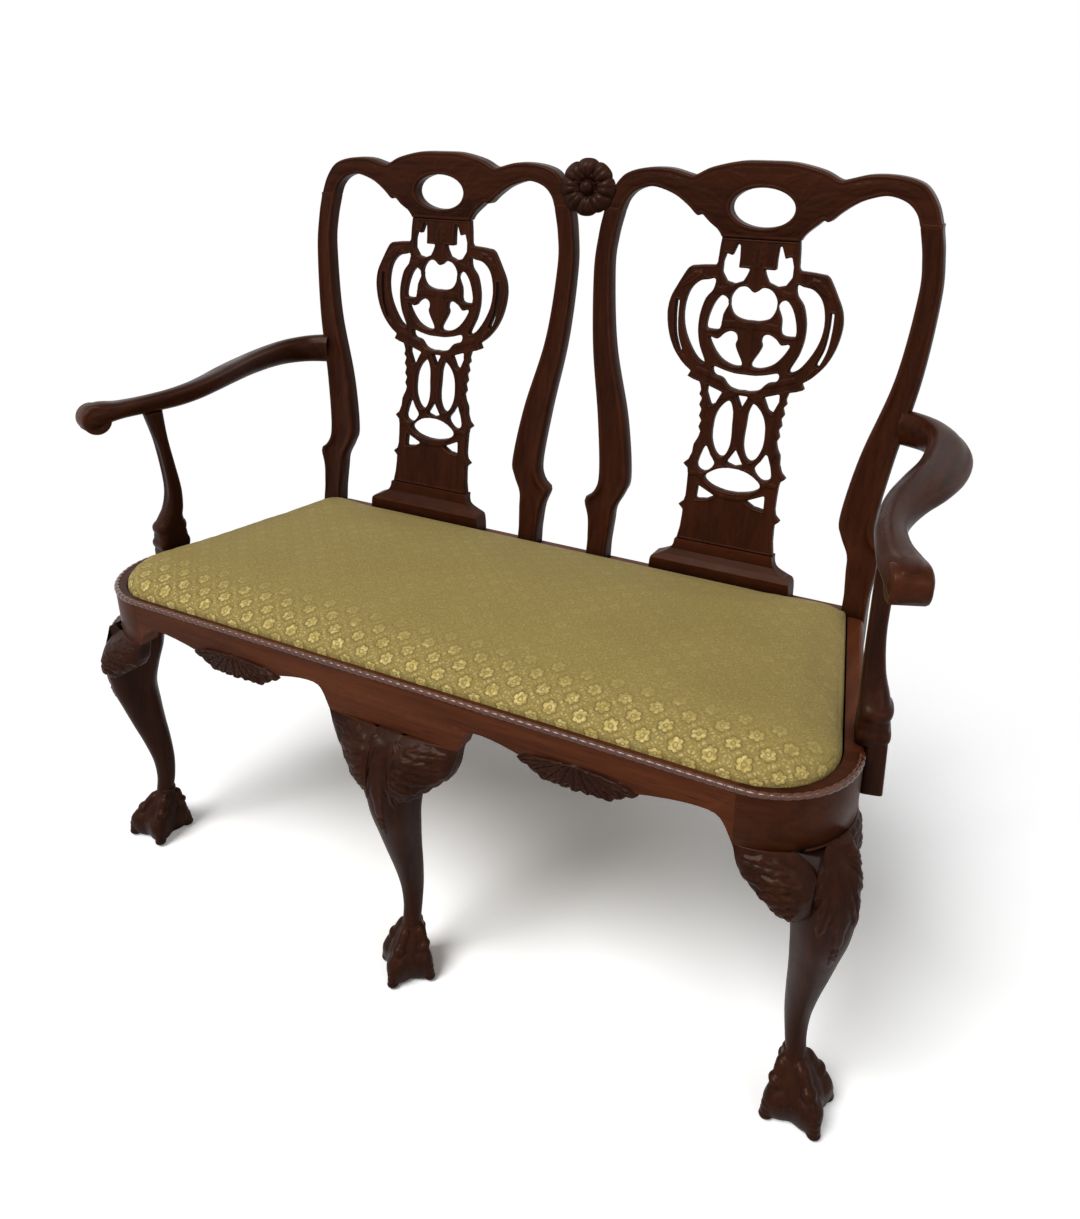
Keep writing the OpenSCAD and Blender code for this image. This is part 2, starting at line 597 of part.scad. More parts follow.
module outer_post(side) {
    color(wood) settee() intersection() {
        on_side(side) difference() {
            translate([half_pitch, 0, 0]) back_cut() polygon(concat(post_outer,
                [[post_foot_out, 0], [post_foot_in + rear_foot_t / 8, 0], [post_foot_in, rail_z]],
                backwards(post_inner)));
            translate([arm_seat_x, 0, arm_bottom - fit_gap])
                cube([arm_w, 2 * seat_depth, arm_rear_z - arm_bottom + 2 * fit_gap]);
        }
        union() {
            back_slab(seat_h, overall_h, 0, 0);
            back_slab(0, seat_h, 0, 0);
        }
    }
}
module inner_post(side) {
    color(wood) settee() intersection() {
        chair_back(side) mirror([1, 0, 0]) back_cut() polygon(concat(post_outer,
            [[post_foot_out, seat_h], [post_foot_in, seat_h]], backwards(post_inner)));
        back_slab(seat_h, overall_h, 0, 0);
    }
}
module rear_leg_centre() {
    color(wood) settee() difference() {
        intersection() {
            back_cut() polygon([[-rear_mid_w / 2, rail_z], [rear_mid_w / 2, rail_z],
                [rear_foot_t / 2, 0], [-rear_foot_t / 2, 0]]);
            back_slab(0, rail_z, 0, 0);
        }
        all_dowels(fit_gap);
    }
}

crest_top = smooth(back_line(crest_top_shares), 3);
crest_half = concat(crest_top, smooth(back_line(crest_under_shares), 3));
module crest_outline() {
    polygon(concat(crest_half, backwards(flipped(crest_half))));
}
module crest(side) {
    color(wood) settee() intersection() {
        chair_back(side) back_cut() difference() {
            crest_outline();
            polygon(back_oval(crest_oval_shares, 0));
        }
        back_slab(seat_h, overall_h, 0, 0);
    }
}

splat_edge = concat(back_line(neck_edge_shares), smooth(back_line(scroll_edge_shares), 2),
    back_line(waist_edge_shares));
module piercing(shares) polygon(loop(back_line(shares), 2));
module splat(side) {
    color(wood) settee() intersection() {
        chair_back(side) back_cut() difference() {
            polygon(concat(splat_edge, backwards(flipped(splat_edge))));
            both_halves() {
                for (shares = [eye_shares, drop_shares, crescent_shares, oval_shares, low_corner_shares])
                    piercing(shares);
                for (shares = [leaf_shares, corner_shares, foot_corner_shares]) polygon(back_line(shares));
                polygon(strap(smooth(back_line(slot_shares), 4), slot_w));
            }
            for (shares = [heart_shares, moon_shares, lens_shares]) piercing(shares);
            for (shares = [high_v_shares, low_v_shares]) polygon(back_line(shares));
        }
        back_slab(seat_h, overall_h, splat_inset, splat_t);
    }
}
module shoe(side) {
    front = smooth(back_line(shoe_shares), 3);
    top = seat_h + shoe_top_share * back_len;
    face = back_y(top) + splat_inset - shoe_wall;
    rear = back_y(top) + splat_inset + splat_t + shoe_wall;
    color(wood) settee() intersection() {
        chair_back(side) back_cut() polygon(concat(front, [[front[len(front) - 1][0], seat_h],
            [-front[len(front) - 1][0], seat_h]], backwards(flipped(front))));
        side_view(-seat_front_w / 2, seat_front_w / 2) polygon(concat(
            [[rear_y, seat_h], [seat_depth, seat_h]],
            [for (s = shoe_cove_shares) [seat_depth + s[0] * (face - seat_depth), seat_h + s[1] * back_len]],
            [[rear, top], [rear_y, top - post_t / 2]]));
    }
}

// Rosette: a core that fills the gap between the two crests, behind a carved flower
module rosette() {
    z = seat_h + rosette_share * back_len;
    rosette_w = 2 * (half_pitch - at_height(crest_top, z) + rosette_lap);
    tilt = atan((back_y(z + rosette_h / 2) - back_y(z - rosette_h / 2)) / rosette_h);
    n = petals * 5;
    color(wood) settee() {
        intersection() {
            back_cut() difference() {
                polygon(oval([0, z], rosette_w / 2, rosette_h / 2));
                for (way = [-1, 1]) translate([way * half_pitch, 0]) {
                    crest_outline();
                    polygon(concat(post_outer, backwards(flipped(post_outer))));
                }
            }
            back_slab(z - rosette_h, overall_h, -petal_t / 4, crest_t);
        }
        translate([0, back_y(z) - petal_t / 4 + fit_gap, z]) rotate([90 - tilt, 0, 0])
            loft([for (i = [0:len(petal_shares) - 1]) [for (k = [0:n - 1])
                let (a = 360 * k / n, s = petal_shares[i],
                    reach = s[0] * (1 - petal_wave_shares[i] * (1 + cos(petals * a)) / 2))
                [rosette_w / 2 * reach * cos(a), rosette_h / 2 * reach * sin(a), s[1] * petal_t]]]);
    }
}

// Arms

arm_z_mid = (arm_bottom + arm_rear_z) / 2;
arm_from = [arm_seat_x, back_y(arm_z_mid) + back_t(arm_z_mid) / 2];
support_at = side_start + side_dir * support_l;
arm_len = (arm_from[1] - support_at[1]) / arm_at_support[0];
arm_out = (support_at[0] - arm_from[0]) / arm_at_support[1];

module arm(side) {
    rows = smooth(arm_shares, 2);
    path = [for (s = rows) arm_from + [s[1] * arm_out, -s[0] * arm_len]];
    color(wood) settee() on_side(side) loft([for (i = [0:len(rows) - 1])
        let (s = rows[i], across = i == 0 ? [0, 1] : square_to(heading(path, i)),
            under = arm_front_z + s[4] * arm_rise, h = (s[3] - s[4]) * arm_rise, out = across[0] < 0 ? -1 : 1)
        [for (q = arm_section_shares)
            [path[i][0] + across[0] * q[0] * s[2] * arm_w, path[i][1] + across[1] * q[0] * s[2] * arm_w,
             under + q[1] * h * (1 - s[5] * (.5 + out * q[0]))]]]);
}
module arm_support(side) {
    foot = seat_h - support_foot_drop;
    h = arm_front_z - foot;
    rows = smooth(support_side_shares, 3);
    outer = smooth([for (s = support_outer_shares) [s[0] * h, foot + s[1] * h]], 3);
    inner = support_inner_share * h;
    color(wood) settee() on_side(side) difference() {
        along_side() translate([0, support_l, 0]) intersection() {
            side_view(-support_foot_t * 2, support_foot_t * 2) polygon(concat(
                [for (s = rows) [s[1] * h, foot + s[0] * h]],
                [for (s = backwards(rows)) [s[2] * h, foot + s[0] * h]]));
            front_view(-support_foot_drop, support_foot_drop) polygon(concat(
                [[0, foot], [support_foot_t, foot], [support_foot_t * .93, seat_h]], outer,
                [[-inner, arm_front_z], [-inner, seat_h], [0, seat_h]]));
        }
        support_screw_holes();
    }
}

// Drop-in seat

frame_z = ledge_z + cover_t;
web_z = frame_z + seat_frame_t;
pad_z = web_z + 2 * web_t + hessian_t;
frame_front = front_lip + seat_gap + cover_t + seat_frame_w;
frame_back = seat_depth - seat_gap - cover_t - seat_frame_w;

module seat_board() {
    translate([0, 0, frame_z]) linear_extrude(seat_frame_t) polygon(moved_in(cover_t));
}
module seat_strip(x0, x1, y0, y1, z, h) {
    translate([x0, y0, z]) cube([x1 - x0, y1 - y0, h]);
}
module seat_frame_front() {
    color(wood_dark) settee() intersection() {
        seat_board();
        seat_strip(-seat_front_w, seat_front_w, 0, frame_front, frame_z, seat_frame_t);
    }
}
module seat_frame_back() {
    color(wood_dark) settee() intersection() {
        seat_board();
        seat_strip(-seat_front_w, seat_front_w, frame_back, seat_depth, frame_z, seat_frame_t);
    }
}
module seat_frame_side(side) {
    inner = side_lip + seat_gap + cover_t + seat_frame_w;
    color(wood_dark) settee() on_side(side) intersection() {
        seat_board();
        seat_strip(half_pitch, seat_front_w, frame_front, frame_back, frame_z, seat_frame_t);
        along_side() translate([-inner, -seat_depth, 0]) cube([2 * inner, 3 * seat_depth, seat_h]);
    }
}
module seat_frame_middle() {
    color(wood_dark) settee()
        seat_strip(-seat_frame_w / 2, seat_frame_w / 2, frame_front, frame_back, frame_z, seat_frame_t);
}
module seat_webbing() {
    deep = [frame_front - seat_frame_w / 2, frame_back + seat_frame_w / 2];
    wide = side_inner_x(frame_back) - side_lip;
    color(jute) settee() {
        for (i = [-3:3]) translate([i * wide / 3.5, 0, 0])
            seat_strip(-web_w / 2, web_w / 2, deep[0], deep[1], web_z, web_t);
        for (i = [-1:1]) translate([0, (deep[0] + deep[1]) / 2 + i * web_w * 1.7, 0])
            seat_strip(-wide, wide, -web_w / 2, web_w / 2, web_z + web_t, web_t);
    }
}
module seat_hessian() {
    color(jute) settee() translate([0, 0, pad_z - hessian_t]) linear_extrude(hessian_t)
        polygon(moved_in(cover_t + fit_gap + edge_shares[1][0] * cushion_edge));
}

function level(p, z) = [for (q = p) [q[0], q[1], z]];
// A ring drawn in about the seat's middle, and rounded towards an ellipse
function drawn_in(p, scale_share, round_share) =
    let (c = [0, (p[0][1] + p[len(p) / 2][1]) / 2], a = max([for (q = p) q[0]]), b = c[1] - p[0][1])
    [for (q = p) let (v = q - c, on_oval = v / norm([v[0] / a, v[1] / b]))
        c + scale_share * (v + (on_oval - v) * round_share)];
// Rings of the cushion, a distance inside the cover's outer face
function cushion_rings(d) = concat(
    [for (s = edge_shares)
        level(moved_in(s[0] * cushion_edge + d), seat_h + s[1] * crown_h - (s[1] > 0 ? d : 0))],
    [for (s = crown_shares)
        level(drawn_in(moved_in(cushion_edge + d), s[0], s[2]), seat_h + s[1] * crown_h - d)]);

module seat_stuffing() {
    d = cover_t + 3 * fit_gap;
    rings = cushion_rings(d);
    color(jute) settee() loft(concat(
        [level(drawn_in(moved_in(d + edge_shares[1][0] * cushion_edge), 1, stuffing_round_share), pad_z)],
        [for (i = [1:len(rings) - 1]) rings[i]]));
}
module seat_cover() {
    color(fabric) settee() loft(concat(
        backwards(cushion_rings(cover_t)),
        [level(moved_in(cover_t), frame_z), level(moved_in(cover_margin), frame_z),
         level(moved_in(cover_margin), ledge_z), level(moved_in(0), ledge_z)],
        cushion_rings(0)));
}
module cover_tacks() {
    inset = cover_margin * .7;
    front_y = front_lip + seat_gap + inset;
    back_in_y = seat_depth - seat_gap - inset;
    color(brass) settee() {
        for (i = [-6:6]) for (y = [front_y, back_in_y]) if (abs(i) > 0)
            translate([i * corner_c[0] / 6.8, y, ledge_z - tack_t]) cylinder(d = tack_d, h = tack_t);
        for (side = SIDES) on_side(side) along_side() for (i = [1:5])
            translate([-side_lip - seat_gap - inset, side_l * i / 6.5, ledge_z - tack_t])
                cylinder(d = tack_d, h = tack_t);
    }
}

front_rail();
rail_corner("left");  // rail_corner_left
rail_corner("right");  // rail_corner_right
side_rail("left");  // side_rail_left
side_rail("right");  // side_rail_right
rear_rail();
centre_brace();
corner_blocks();
front_leg("left");  // front_leg_left
front_leg_centre();
front_leg("right");  // front_leg_right
bracket_front("left");  // bracket_left_front
bracket_side("left");  // bracket_left_side
bracket_centre("left");  // bracket_centre_left
bracket_centre("right");  // bracket_centre_right
bracket_front("right");  // bracket_right_front
bracket_side("right");  // bracket_right_side
outer_post("left");  // outer_post_left
outer_post("right");  // outer_post_right
inner_post("left");  // inner_post_left
inner_post("right");  // inner_post_right
rear_leg_centre();
crest("left");  // crest_left
crest("right");  // crest_right
splat("left");  // splat_left
splat("right");  // splat_right
shoe("left");  // shoe_left
shoe("right");  // shoe_right
rosette();
arm("left");  // arm_left
arm("right");  // arm_right
arm_support("left");  // arm_support_left
arm_support("right");  // arm_support_right
leg_dowels();
corner_screws();
support_screws();
seat_frame_front();
seat_frame_back();
seat_frame_side("left");  // seat_frame_left
seat_frame_side("right");  // seat_frame_right
seat_frame_middle();
seat_webbing();
seat_hessian();
seat_stuffing();
seat_cover();
cover_tacks();
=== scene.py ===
# %% [markdown]
# # A chair-back settee in carved mahogany
#
# This is a two-seat settee of the middle of the eighteenth century: two pierced chair-backs side by side,
# open arms, a drop-in seat in golden damask, and cabriole legs on claw-and-ball feet. A joiner has already
# built its solids. They come in as a fixed frame, and everything made here sits on that frame in the same
# metres. The carver's, the polisher's and the upholsterer's work is what is left to do.

# %% The joiner's frame
import bmesh
import bpy
import json
import math
import numpy as np
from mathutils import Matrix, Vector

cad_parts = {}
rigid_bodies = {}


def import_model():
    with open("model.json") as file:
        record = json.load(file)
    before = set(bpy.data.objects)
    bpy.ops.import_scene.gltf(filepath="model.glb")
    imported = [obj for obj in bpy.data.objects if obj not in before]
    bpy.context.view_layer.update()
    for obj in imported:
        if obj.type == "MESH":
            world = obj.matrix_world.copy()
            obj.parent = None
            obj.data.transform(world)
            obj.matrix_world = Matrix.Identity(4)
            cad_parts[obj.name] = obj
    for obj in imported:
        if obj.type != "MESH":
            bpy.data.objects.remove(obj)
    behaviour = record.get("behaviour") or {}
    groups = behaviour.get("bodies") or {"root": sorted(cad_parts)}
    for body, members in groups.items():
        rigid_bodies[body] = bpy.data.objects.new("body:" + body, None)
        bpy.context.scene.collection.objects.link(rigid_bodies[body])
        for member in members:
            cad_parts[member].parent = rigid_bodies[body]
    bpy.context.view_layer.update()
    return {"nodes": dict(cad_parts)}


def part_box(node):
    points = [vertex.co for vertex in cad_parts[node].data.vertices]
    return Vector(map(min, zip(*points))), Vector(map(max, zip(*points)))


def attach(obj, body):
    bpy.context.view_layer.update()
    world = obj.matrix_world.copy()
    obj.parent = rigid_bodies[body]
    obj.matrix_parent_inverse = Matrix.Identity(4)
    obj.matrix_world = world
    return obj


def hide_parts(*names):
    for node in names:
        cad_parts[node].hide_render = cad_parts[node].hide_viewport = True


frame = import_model()
nodes = frame["nodes"]
scene = bpy.context.scene

rail_face_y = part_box("front_rail")[0].y
rail_top_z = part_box("front_rail")[1].z
rail_low_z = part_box("front_leg_centre")[1].z
crest_top_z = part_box("crest_left")[1].z
half_pitch = (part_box("crest_right")[0].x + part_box("crest_right")[1].x) / 2
print("frame:", len(nodes), "nodes, rail top", round(rail_top_z, 3), "crest top", round(crest_top_z, 3))

# %% [markdown]
# The photograph was taken from the right of the settee and from above its seat. The camera could be turned
# by hand until the outlines fall on each other. Its place and lens were worked out from the converging
# rails instead, because a wide lens this close bends every proportion that a guess gets wrong.

# %% Camera
PHOTO_LONG_SIDE_PX = 1219
FOCAL_PX = 1034.68
SHIFT_PX = (-13.68, -77.73)
camera_data = bpy.data.cameras.new("photo_camera")
camera_data.sensor_fit = "VERTICAL"
camera_data.sensor_height = 36
camera_data.lens = FOCAL_PX * camera_data.sensor_height / PHOTO_LONG_SIDE_PX
camera_data.shift_x, camera_data.shift_y = (px / PHOTO_LONG_SIDE_PX for px in SHIFT_PX)
camera_data.clip_start = 0.05
camera = bpy.data.objects.new("photo_camera", camera_data)
camera.location = (0.672, rail_face_y - 0.8255, 1.0762)
camera.rotation_euler = (math.pi / 2 - 0.39957, 0, 0.50023)
scene.collection.objects.link(camera)
scene.camera = camera
print("camera at", [round(v, 3) for v in camera.location], "lens", round(camera_data.lens, 2), "mm")

# %% [markdown]
# Every finish below is a small web of shader nodes. They could be placed one by one with long calls. Here
# what comes out of a node can be counted with, so a sum or a product in the text places its own Math node.
# A node group is an effect that several finishes share.

# %% Shader helpers
class Value:
    """What comes out of a shader node. It can be added, multiplied and read by other nodes."""

    def __init__(self, socket):
        self.socket, self.tree = socket, socket.id_data

    def maths(self, operation, other=0.0, clamp=False):
        return put(self.tree, "Math", {"operation": operation, "use_clamp": clamp}, {0: self, 1: other})[0]

    def ranged(self, low, high, to_low=0.0, to_high=1.0):
        """The value spread from one range to another, and held inside it."""
        return put(self.tree, "MapRange", {}, {0: self, 1: low, 2: high, 3: to_low, 4: to_high})[0]

    def mix(self, first, second):
        """Two colours mixed by this share: 0 is the first and 1 the second."""
        first, second = ((*c, 1) if isinstance(c, tuple) else c for c in (first, second))
        return put(self.tree, "Mix", {"data_type": "RGBA"}, {0: self, 6: first, 7: second})[2]

    def cloudy(self, scale, detail=4.0, roughness=0.5, **more):
        """Noise at this place."""
        return put(self.tree, "TexNoise", {}, {"Vector": self, "Scale": scale, "Detail": detail,
                                               "Roughness": roughness, **more})[0]

    def squeezed(self, share):
        """This place with its height squeezed, which stretches what reads it."""
        return put(self.tree, "VectorMath", {"operation": "MULTIPLY"}, {0: self, 1: (1, 1, share)})[0]

    def axes(self):
        return put(self.tree, "SeparateXYZ", {}, {0: self})

    def __add__(self, other):
        return self.maths("ADD", other)

    def __sub__(self, other):
        return self.maths("SUBTRACT", other)

    def __mul__(self, other):
        return self.maths("MULTIPLY", other)

    def __truediv__(self, other):
        return self.maths("DIVIDE", other)

    def __abs__(self):
        return self.maths("ABSOLUTE")


def values_of(sockets):
    """The values that leave a node, each by its number and by its name."""
    return {key: Value(socket) for k, socket in enumerate(sockets) for key in (k, socket.name)}


def put(tree, kind, settings=None, sockets=None):
    """A node with its settings made and its sockets filled, and the values that come out of it."""
    made = tree.nodes.new("ShaderNode" + kind)
    for key, value in (settings or {}).items():
        setattr(made, key, value)
    for key, value in (sockets or {}).items():
        if isinstance(value, Value):
            tree.links.new(value.socket, made.inputs[key])
        else:
            made.inputs[key].default_value = value
    return values_of(made.outputs)


def new_group(name, **inputs):
    """A node group. An input of None is a place, and a number is a plain value."""
    tree = bpy.data.node_groups.new(name, "ShaderNodeTree")
    for label, value in inputs.items():
        kind = "NodeSocketVector" if value is None else "NodeSocketFloat"
        socket = tree.interface.new_socket(name=label, in_out="INPUT", socket_type=kind)
        if value is not None:
            socket.default_value = value
    return tree, values_of(tree.nodes.new("NodeGroupInput").outputs)


def close_group(tree, **results):
    """The group's outputs, each with the value that it gives."""
    for label in results:
        tree.interface.new_socket(name=label, in_out="OUTPUT", socket_type="NodeSocketFloat")
    ends = tree.nodes.new("NodeGroupOutput").inputs
    for label, value in results.items():
        tree.links.new(value.socket, ends[label])
    print("group", tree.name, "with", len(tree.nodes), "nodes")


def use(tree, group, **sockets):
    """A group placed in a material."""
    return put(tree, "Group", {"node_tree": group}, sockets)


def new_material(name):
    material = bpy.data.materials.new(name)
    material.use_nodes = True
    material.node_tree.nodes.clear()
    return material, material.node_tree


def surfaced(material, height, strength, depth, **shader):
    """The material closed with a bumped surface. In the shader's names, _ stands for a space."""
    tree = material.node_tree
    bump = put(tree, "Bump", {}, {"Height": height, "Strength": strength, "Distance": depth})[0]
    inputs = {key.replace("_", " "): value for key, value in shader.items()}
    surface = put(tree, "BsdfPrincipled", {}, {"Normal": bump, **inputs})[0]
    put(tree, "OutputMaterial", {}, {"Surface": surface})
    return material


print("shader helpers ready")

# %% [markdown]
# A studio cove is a white floor that runs into a white wall. A modelled bent sheet would do, and it would
# show its bend in other views. Here the floor is a plain disc and the white behind it is the world's colour.
# What the camera sees of the floor is a little brighter than what lights the settee, so that the open floor
# is white and only the shadow stays on it. Far out the floor turns to plain white, so no horizon shows.

# %% Floor and sky
scene.view_settings.view_transform = "Standard"
SKY_STRENGTH, FLOOR_PAINT, FLOOR_SEEN, WHITE = 0.28, 0.80, 1.20, (1, 1, 1, 1)
FLOOR_REACH, FADE_FROM, FADE_TO = 30, 0.42, 1.15

world = bpy.data.worlds.new("studio")
scene.world = world
world.use_nodes = True
sky = world.node_tree
sky.nodes.clear()
rays = put(sky, "LightPath")
seen = rays["Is Camera Ray"].maths("MAXIMUM", rays["Is Glossy Ray"])
seen = seen.maths("MAXIMUM", rays["Is Transmission Ray"])
lit, white = (put(sky, "Background", {}, {"Color": WHITE, "Strength": s})[0] for s in (SKY_STRENGTH, 1))
put(sky, "OutputWorld", {}, {"Surface": put(sky, "MixShader", {}, {0: seen, 1: lit, 2: white})[0]})

bpy.ops.mesh.primitive_circle_add(vertices=64, radius=FLOOR_REACH, fill_type="NGON")
floor = bpy.context.object
floor.name = "studio_floor"
cove, tree = new_material("studio_cove")
eye = put(tree, "LightPath")["Is Camera Ray"]
paint = put(tree, "BsdfDiffuse", {}, {"Color": eye.mix((FLOOR_PAINT,) * 3, (FLOOR_SEEN,) * 3)})[0]
glow = put(tree, "Emission", {}, {"Color": WHITE, "Strength": 1})[0]
out_there = put(tree, "VectorMath", {"operation": "LENGTH"}, {0: put(tree, "TexCoord")["Object"]})["Value"]
fade = out_there.ranged(FADE_FROM, FADE_TO) * eye
put(tree, "OutputMaterial", {}, {"Surface": put(tree, "MixShader", {}, {0: fade, 1: paint, 2: glow})[0]})
floor.data.materials.append(cove)
print("studio: sky", SKY_STRENGTH, "floor", FLOOR_PAINT)

# %% [markdown]
# The photograph's soft shadow lies under the settee and runs back and a little to the right, so the main
# light stood high in front and to the left. A near soft box would light one corner of the floor more than
# another. A sun with a wide face lights it evenly, and its shadow is just as soft. A weak lamp on the right
# keeps the arm from going black.

# %% Lamps
def lamp(kind, name, place, size, energy, target=(0, 0, 0.4)):
    """A lamp that looks at its target. Its size is a width, or the angle of a sun's face."""
    data = bpy.data.lights.new(name, kind)
    if kind == "SUN":
        data.angle = size
    else:
        data.shape, data.size = "DISK", size
    data.energy = energy
    thing = bpy.data.objects.new(name, data)
    thing.location = place
    way = np.subtract(target, place)
    thing.rotation_euler = (math.atan2(math.hypot(way[0], way[1]), -way[2]), 0,
                            math.atan2(way[0], -way[1]) + math.pi)
    scene.collection.objects.link(thing)
    return thing


lamps = [lamp("SUN", "window", (-0.73, -1.86, 3.26), math.radians(30), 2.5),
         lamp("AREA", "side_fill", (2.8, -1.8, 2.4), 1.6, 16)]
print("lamps:", [(thing.name, thing.data.energy) for thing in lamps])

# %% [markdown]
# Mahogany shows long streaks of figure, broad ribbons of lighter wood, and short dark pores. An image of a
# veneer would repeat. Stretched noise gives the same look at any size: the place is squeezed along the
# grain before the noise reads it, so its clouds come out as streaks. The group takes its grain along Z.

# %% Wood figure group
STREAK_SQUEEZE, RIBBON_SQUEEZE, PORE_SQUEEZE = 0.05, 0.22, 0.035
wood_figure, given = new_group("wood_figure", Place=None, Streaks=90.0)
place = given["Place"]
streaks = place.squeezed(STREAK_SQUEEZE).cloudy(given["Streaks"], 6.0, 0.62, Distortion=0.5)
ribbons = place.squeezed(RIBBON_SQUEEZE).cloudy(16.0, 3.0)
pores = place.squeezed(PORE_SQUEEZE).cloudy(950.0, 2.0).ranged(0.6, 0.7)
close_group(wood_figure, Figure=(streaks * 0.62 + ribbons * 0.38).ranged(0.36, 0.64), Pores=pores,
            Height=streaks * 0.4 - pores)

# %% [markdown]
# Two and a half centuries of dusting polish the edges to a warmer red, and old wax darkens in the hollows.
# The same two masks also paint light: the warm red on every ridge is in part a painted highlight, and the
# darkening in grooves and pockets is in part painted shade. Where an edge is comes from the mesh itself:
# pointiness is high on a ridge and low in a groove, and ambient occlusion finds the deeper pockets. A
# little noise breaks both up, because wear is never even.

# %% Group for worn ridges with a painted highlight, and for hollows with wax and painted shade
wear_highlight_and_shade, given = new_group("wear_highlight_and_shade", Place=None, Pocket=0.016)
point = put(wear_highlight_and_shade, "NewGeometry")["Pointiness"]
# Ridges: rubbed edges, and also a painted highlight.
edge = point.ranged(0.51, 0.60) * given["Place"].cloudy(60.0, 3.0).ranged(0.3, 0.6, 0.35, 1.0)
# Hollows: old wax, and also painted shade, from ambient occlusion and low pointiness.
open_share = put(wear_highlight_and_shade, "AmbientOcclusion", {"samples": 6}, {"Distance": given["Pocket"]})["AO"]
hollow = open_share.ranged(0.9, 0.35).maths("MAXIMUM", point.ranged(0.49, 0.42))
close_group(wear_highlight_and_shade, Edge=edge, Hollow=hollow)

# %% [markdown]
# The polish is shellac and wax: glossy on the flats, duller in the pockets and where hands have cleaned the
# grain open. One function makes the finish for a given run of the grain, because legs, posts and splats
# have it upright, rails and crests across, and arms from back to front. Each piece shifts the figure by a
# number of its own, as each was sawn from another part of the board.

# %% Mahogany finishes
GRAIN_UP, GRAIN_ACROSS, GRAIN_ALONG = (0, 0, 0), (0, math.pi / 2, 0), (math.pi / 2, 0, 0)
DARK, MID = (0.016, 0.0038, 0.0015), (0.045, 0.0105, 0.0036)
RAIL_DARK, RAIL_MID = (0.044, 0.0104, 0.0034), (0.098, 0.0255, 0.0080)
CORNER_DARK, CORNER_MID = (0.027, 0.0064, 0.0021), (0.060, 0.0152, 0.0048)
# The warm reds below are rubbed edges and also a painted highlight on them; the near black is dark wax in the
# pores and also painted shade in the hollows.
CORNER_WEAR_AND_HIGHLIGHT = (0.085, 0.0225, 0.0078)
CARVED_DARK, CARVED_MID = (0.013, 0.0036, 0.0018), (0.035, 0.0095, 0.0042)
WARM_WEAR_AND_HIGHLIGHT, WAX_AND_SHADE_BLACK = (0.115, 0.031, 0.011), (0.0045, 0.0016, 0.0010)


def polished_wood(name, turn, dark, mid, gloss, wax=0.035, worn_and_highlight=WARM_WEAR_AND_HIGHLIGHT, hollow=WAX_AND_SHADE_BLACK):
    material, tree = new_material(name)
    spot = put(tree, "VectorMath", {"operation": "ADD"},
               {0: put(tree, "TexCoord")["Object"], 1: put(tree, "ObjectInfo")["Random"]})[0]
    spot = put(tree, "Mapping", {}, {"Vector": spot, "Rotation": turn})[0]
    wood, wear = use(tree, wood_figure, Place=spot), use(tree, wear_highlight_and_shade, Place=spot)
    colour = (wood["Pores"] * 0.55).mix(wood["Figure"].mix(dark, mid), hollow)
    # Worn ridges turn warm red, partly a painted highlight; hollows turn near black, partly old wax and
    # partly painted shade.
    colour = (wear["Hollow"] * 0.8).mix((wear["Edge"] * 0.6).mix(colour, worn_and_highlight), hollow)
    rough = spot.cloudy(22.0, 3.0).ranged(0.3, 0.7, gloss - 0.07, gloss + 0.09) + wear["Hollow"] * 0.25
    return surfaced(material, wood["Height"], 0.25, 0.0005, Base_Color=colour, Roughness=rough,
                    Specular_IOR_Level=0.07, Specular_Tint=(1.0, 0.66, 0.48, 1), Coat_Weight=wax,
                    Coat_Roughness=0.24)


mahogany_up = polished_wood("mahogany_upright", GRAIN_UP, DARK, MID, 0.36)
mahogany_across = polished_wood("mahogany_across", GRAIN_ACROSS, DARK, MID, 0.38)
mahogany_along = polished_wood("mahogany_arm", GRAIN_ALONG, DARK, MID, 0.33, 0.05)
mahogany_rail = polished_wood("mahogany_rail", GRAIN_ACROSS, RAIL_DARK, RAIL_MID, 0.34)
mahogany_side = polished_wood("mahogany_side_rail", GRAIN_ALONG, RAIL_DARK, RAIL_MID, 0.34)
mahogany_carved = polished_wood("mahogany_carved", GRAIN_UP, CARVED_DARK, CARVED_MID, 0.34, 0.05)
mahogany_corner = polished_wood("mahogany_corner", GRAIN_ACROSS, CORNER_DARK, CORNER_MID, 0.34,
                                worn_and_highlight=CORNER_WEAR_AND_HIGHLIGHT)
mahogany_bead = polished_wood("mahogany_bead", GRAIN_ACROSS, RAIL_DARK, RAIL_MID, 0.20, 1.0)
print("mahogany finishes:", sum("mahogany" in m.name for m in bpy.data.materials))

# %% [markdown]
# What the customer never sees was made of cheaper timber: the corner blocks, the brace, the dowels and the
# drop-in seat's frame are pale beech, sawn and left without polish. Its ridges turn paler, in part a painted
# highlight, and its hollows darker, in part a little grime from handling and in part painted shade.

# %% Secondary wood
# The last two colours of each: paler ridges, partly a painted highlight, and dark hollows, partly grime and
# partly painted shade.
beech = polished_wood("beech_sawn", GRAIN_ACROSS, (0.25, 0.155, 0.085), (0.36, 0.24, 0.135), 0.62, 0.0,
                      (0.44, 0.31, 0.19), (0.11, 0.07, 0.04))
beech_up = polished_wood("beech_block", GRAIN_UP, (0.22, 0.135, 0.075), (0.34, 0.22, 0.125), 0.62, 0.0,
                         (0.42, 0.29, 0.18), (0.10, 0.06, 0.035))
print("secondary wood:", beech.name, beech_up.name)

# %% [markdown]
# A plain weave is two families of threads, each passing over and under the other. An image tile could show
# it. Two sine waves and a chequer do it exactly: the chequer says which thread is on top at each crossing,
# and the sine is that thread's rounded back. Damask, hessian and webbing share it at their own pitch.

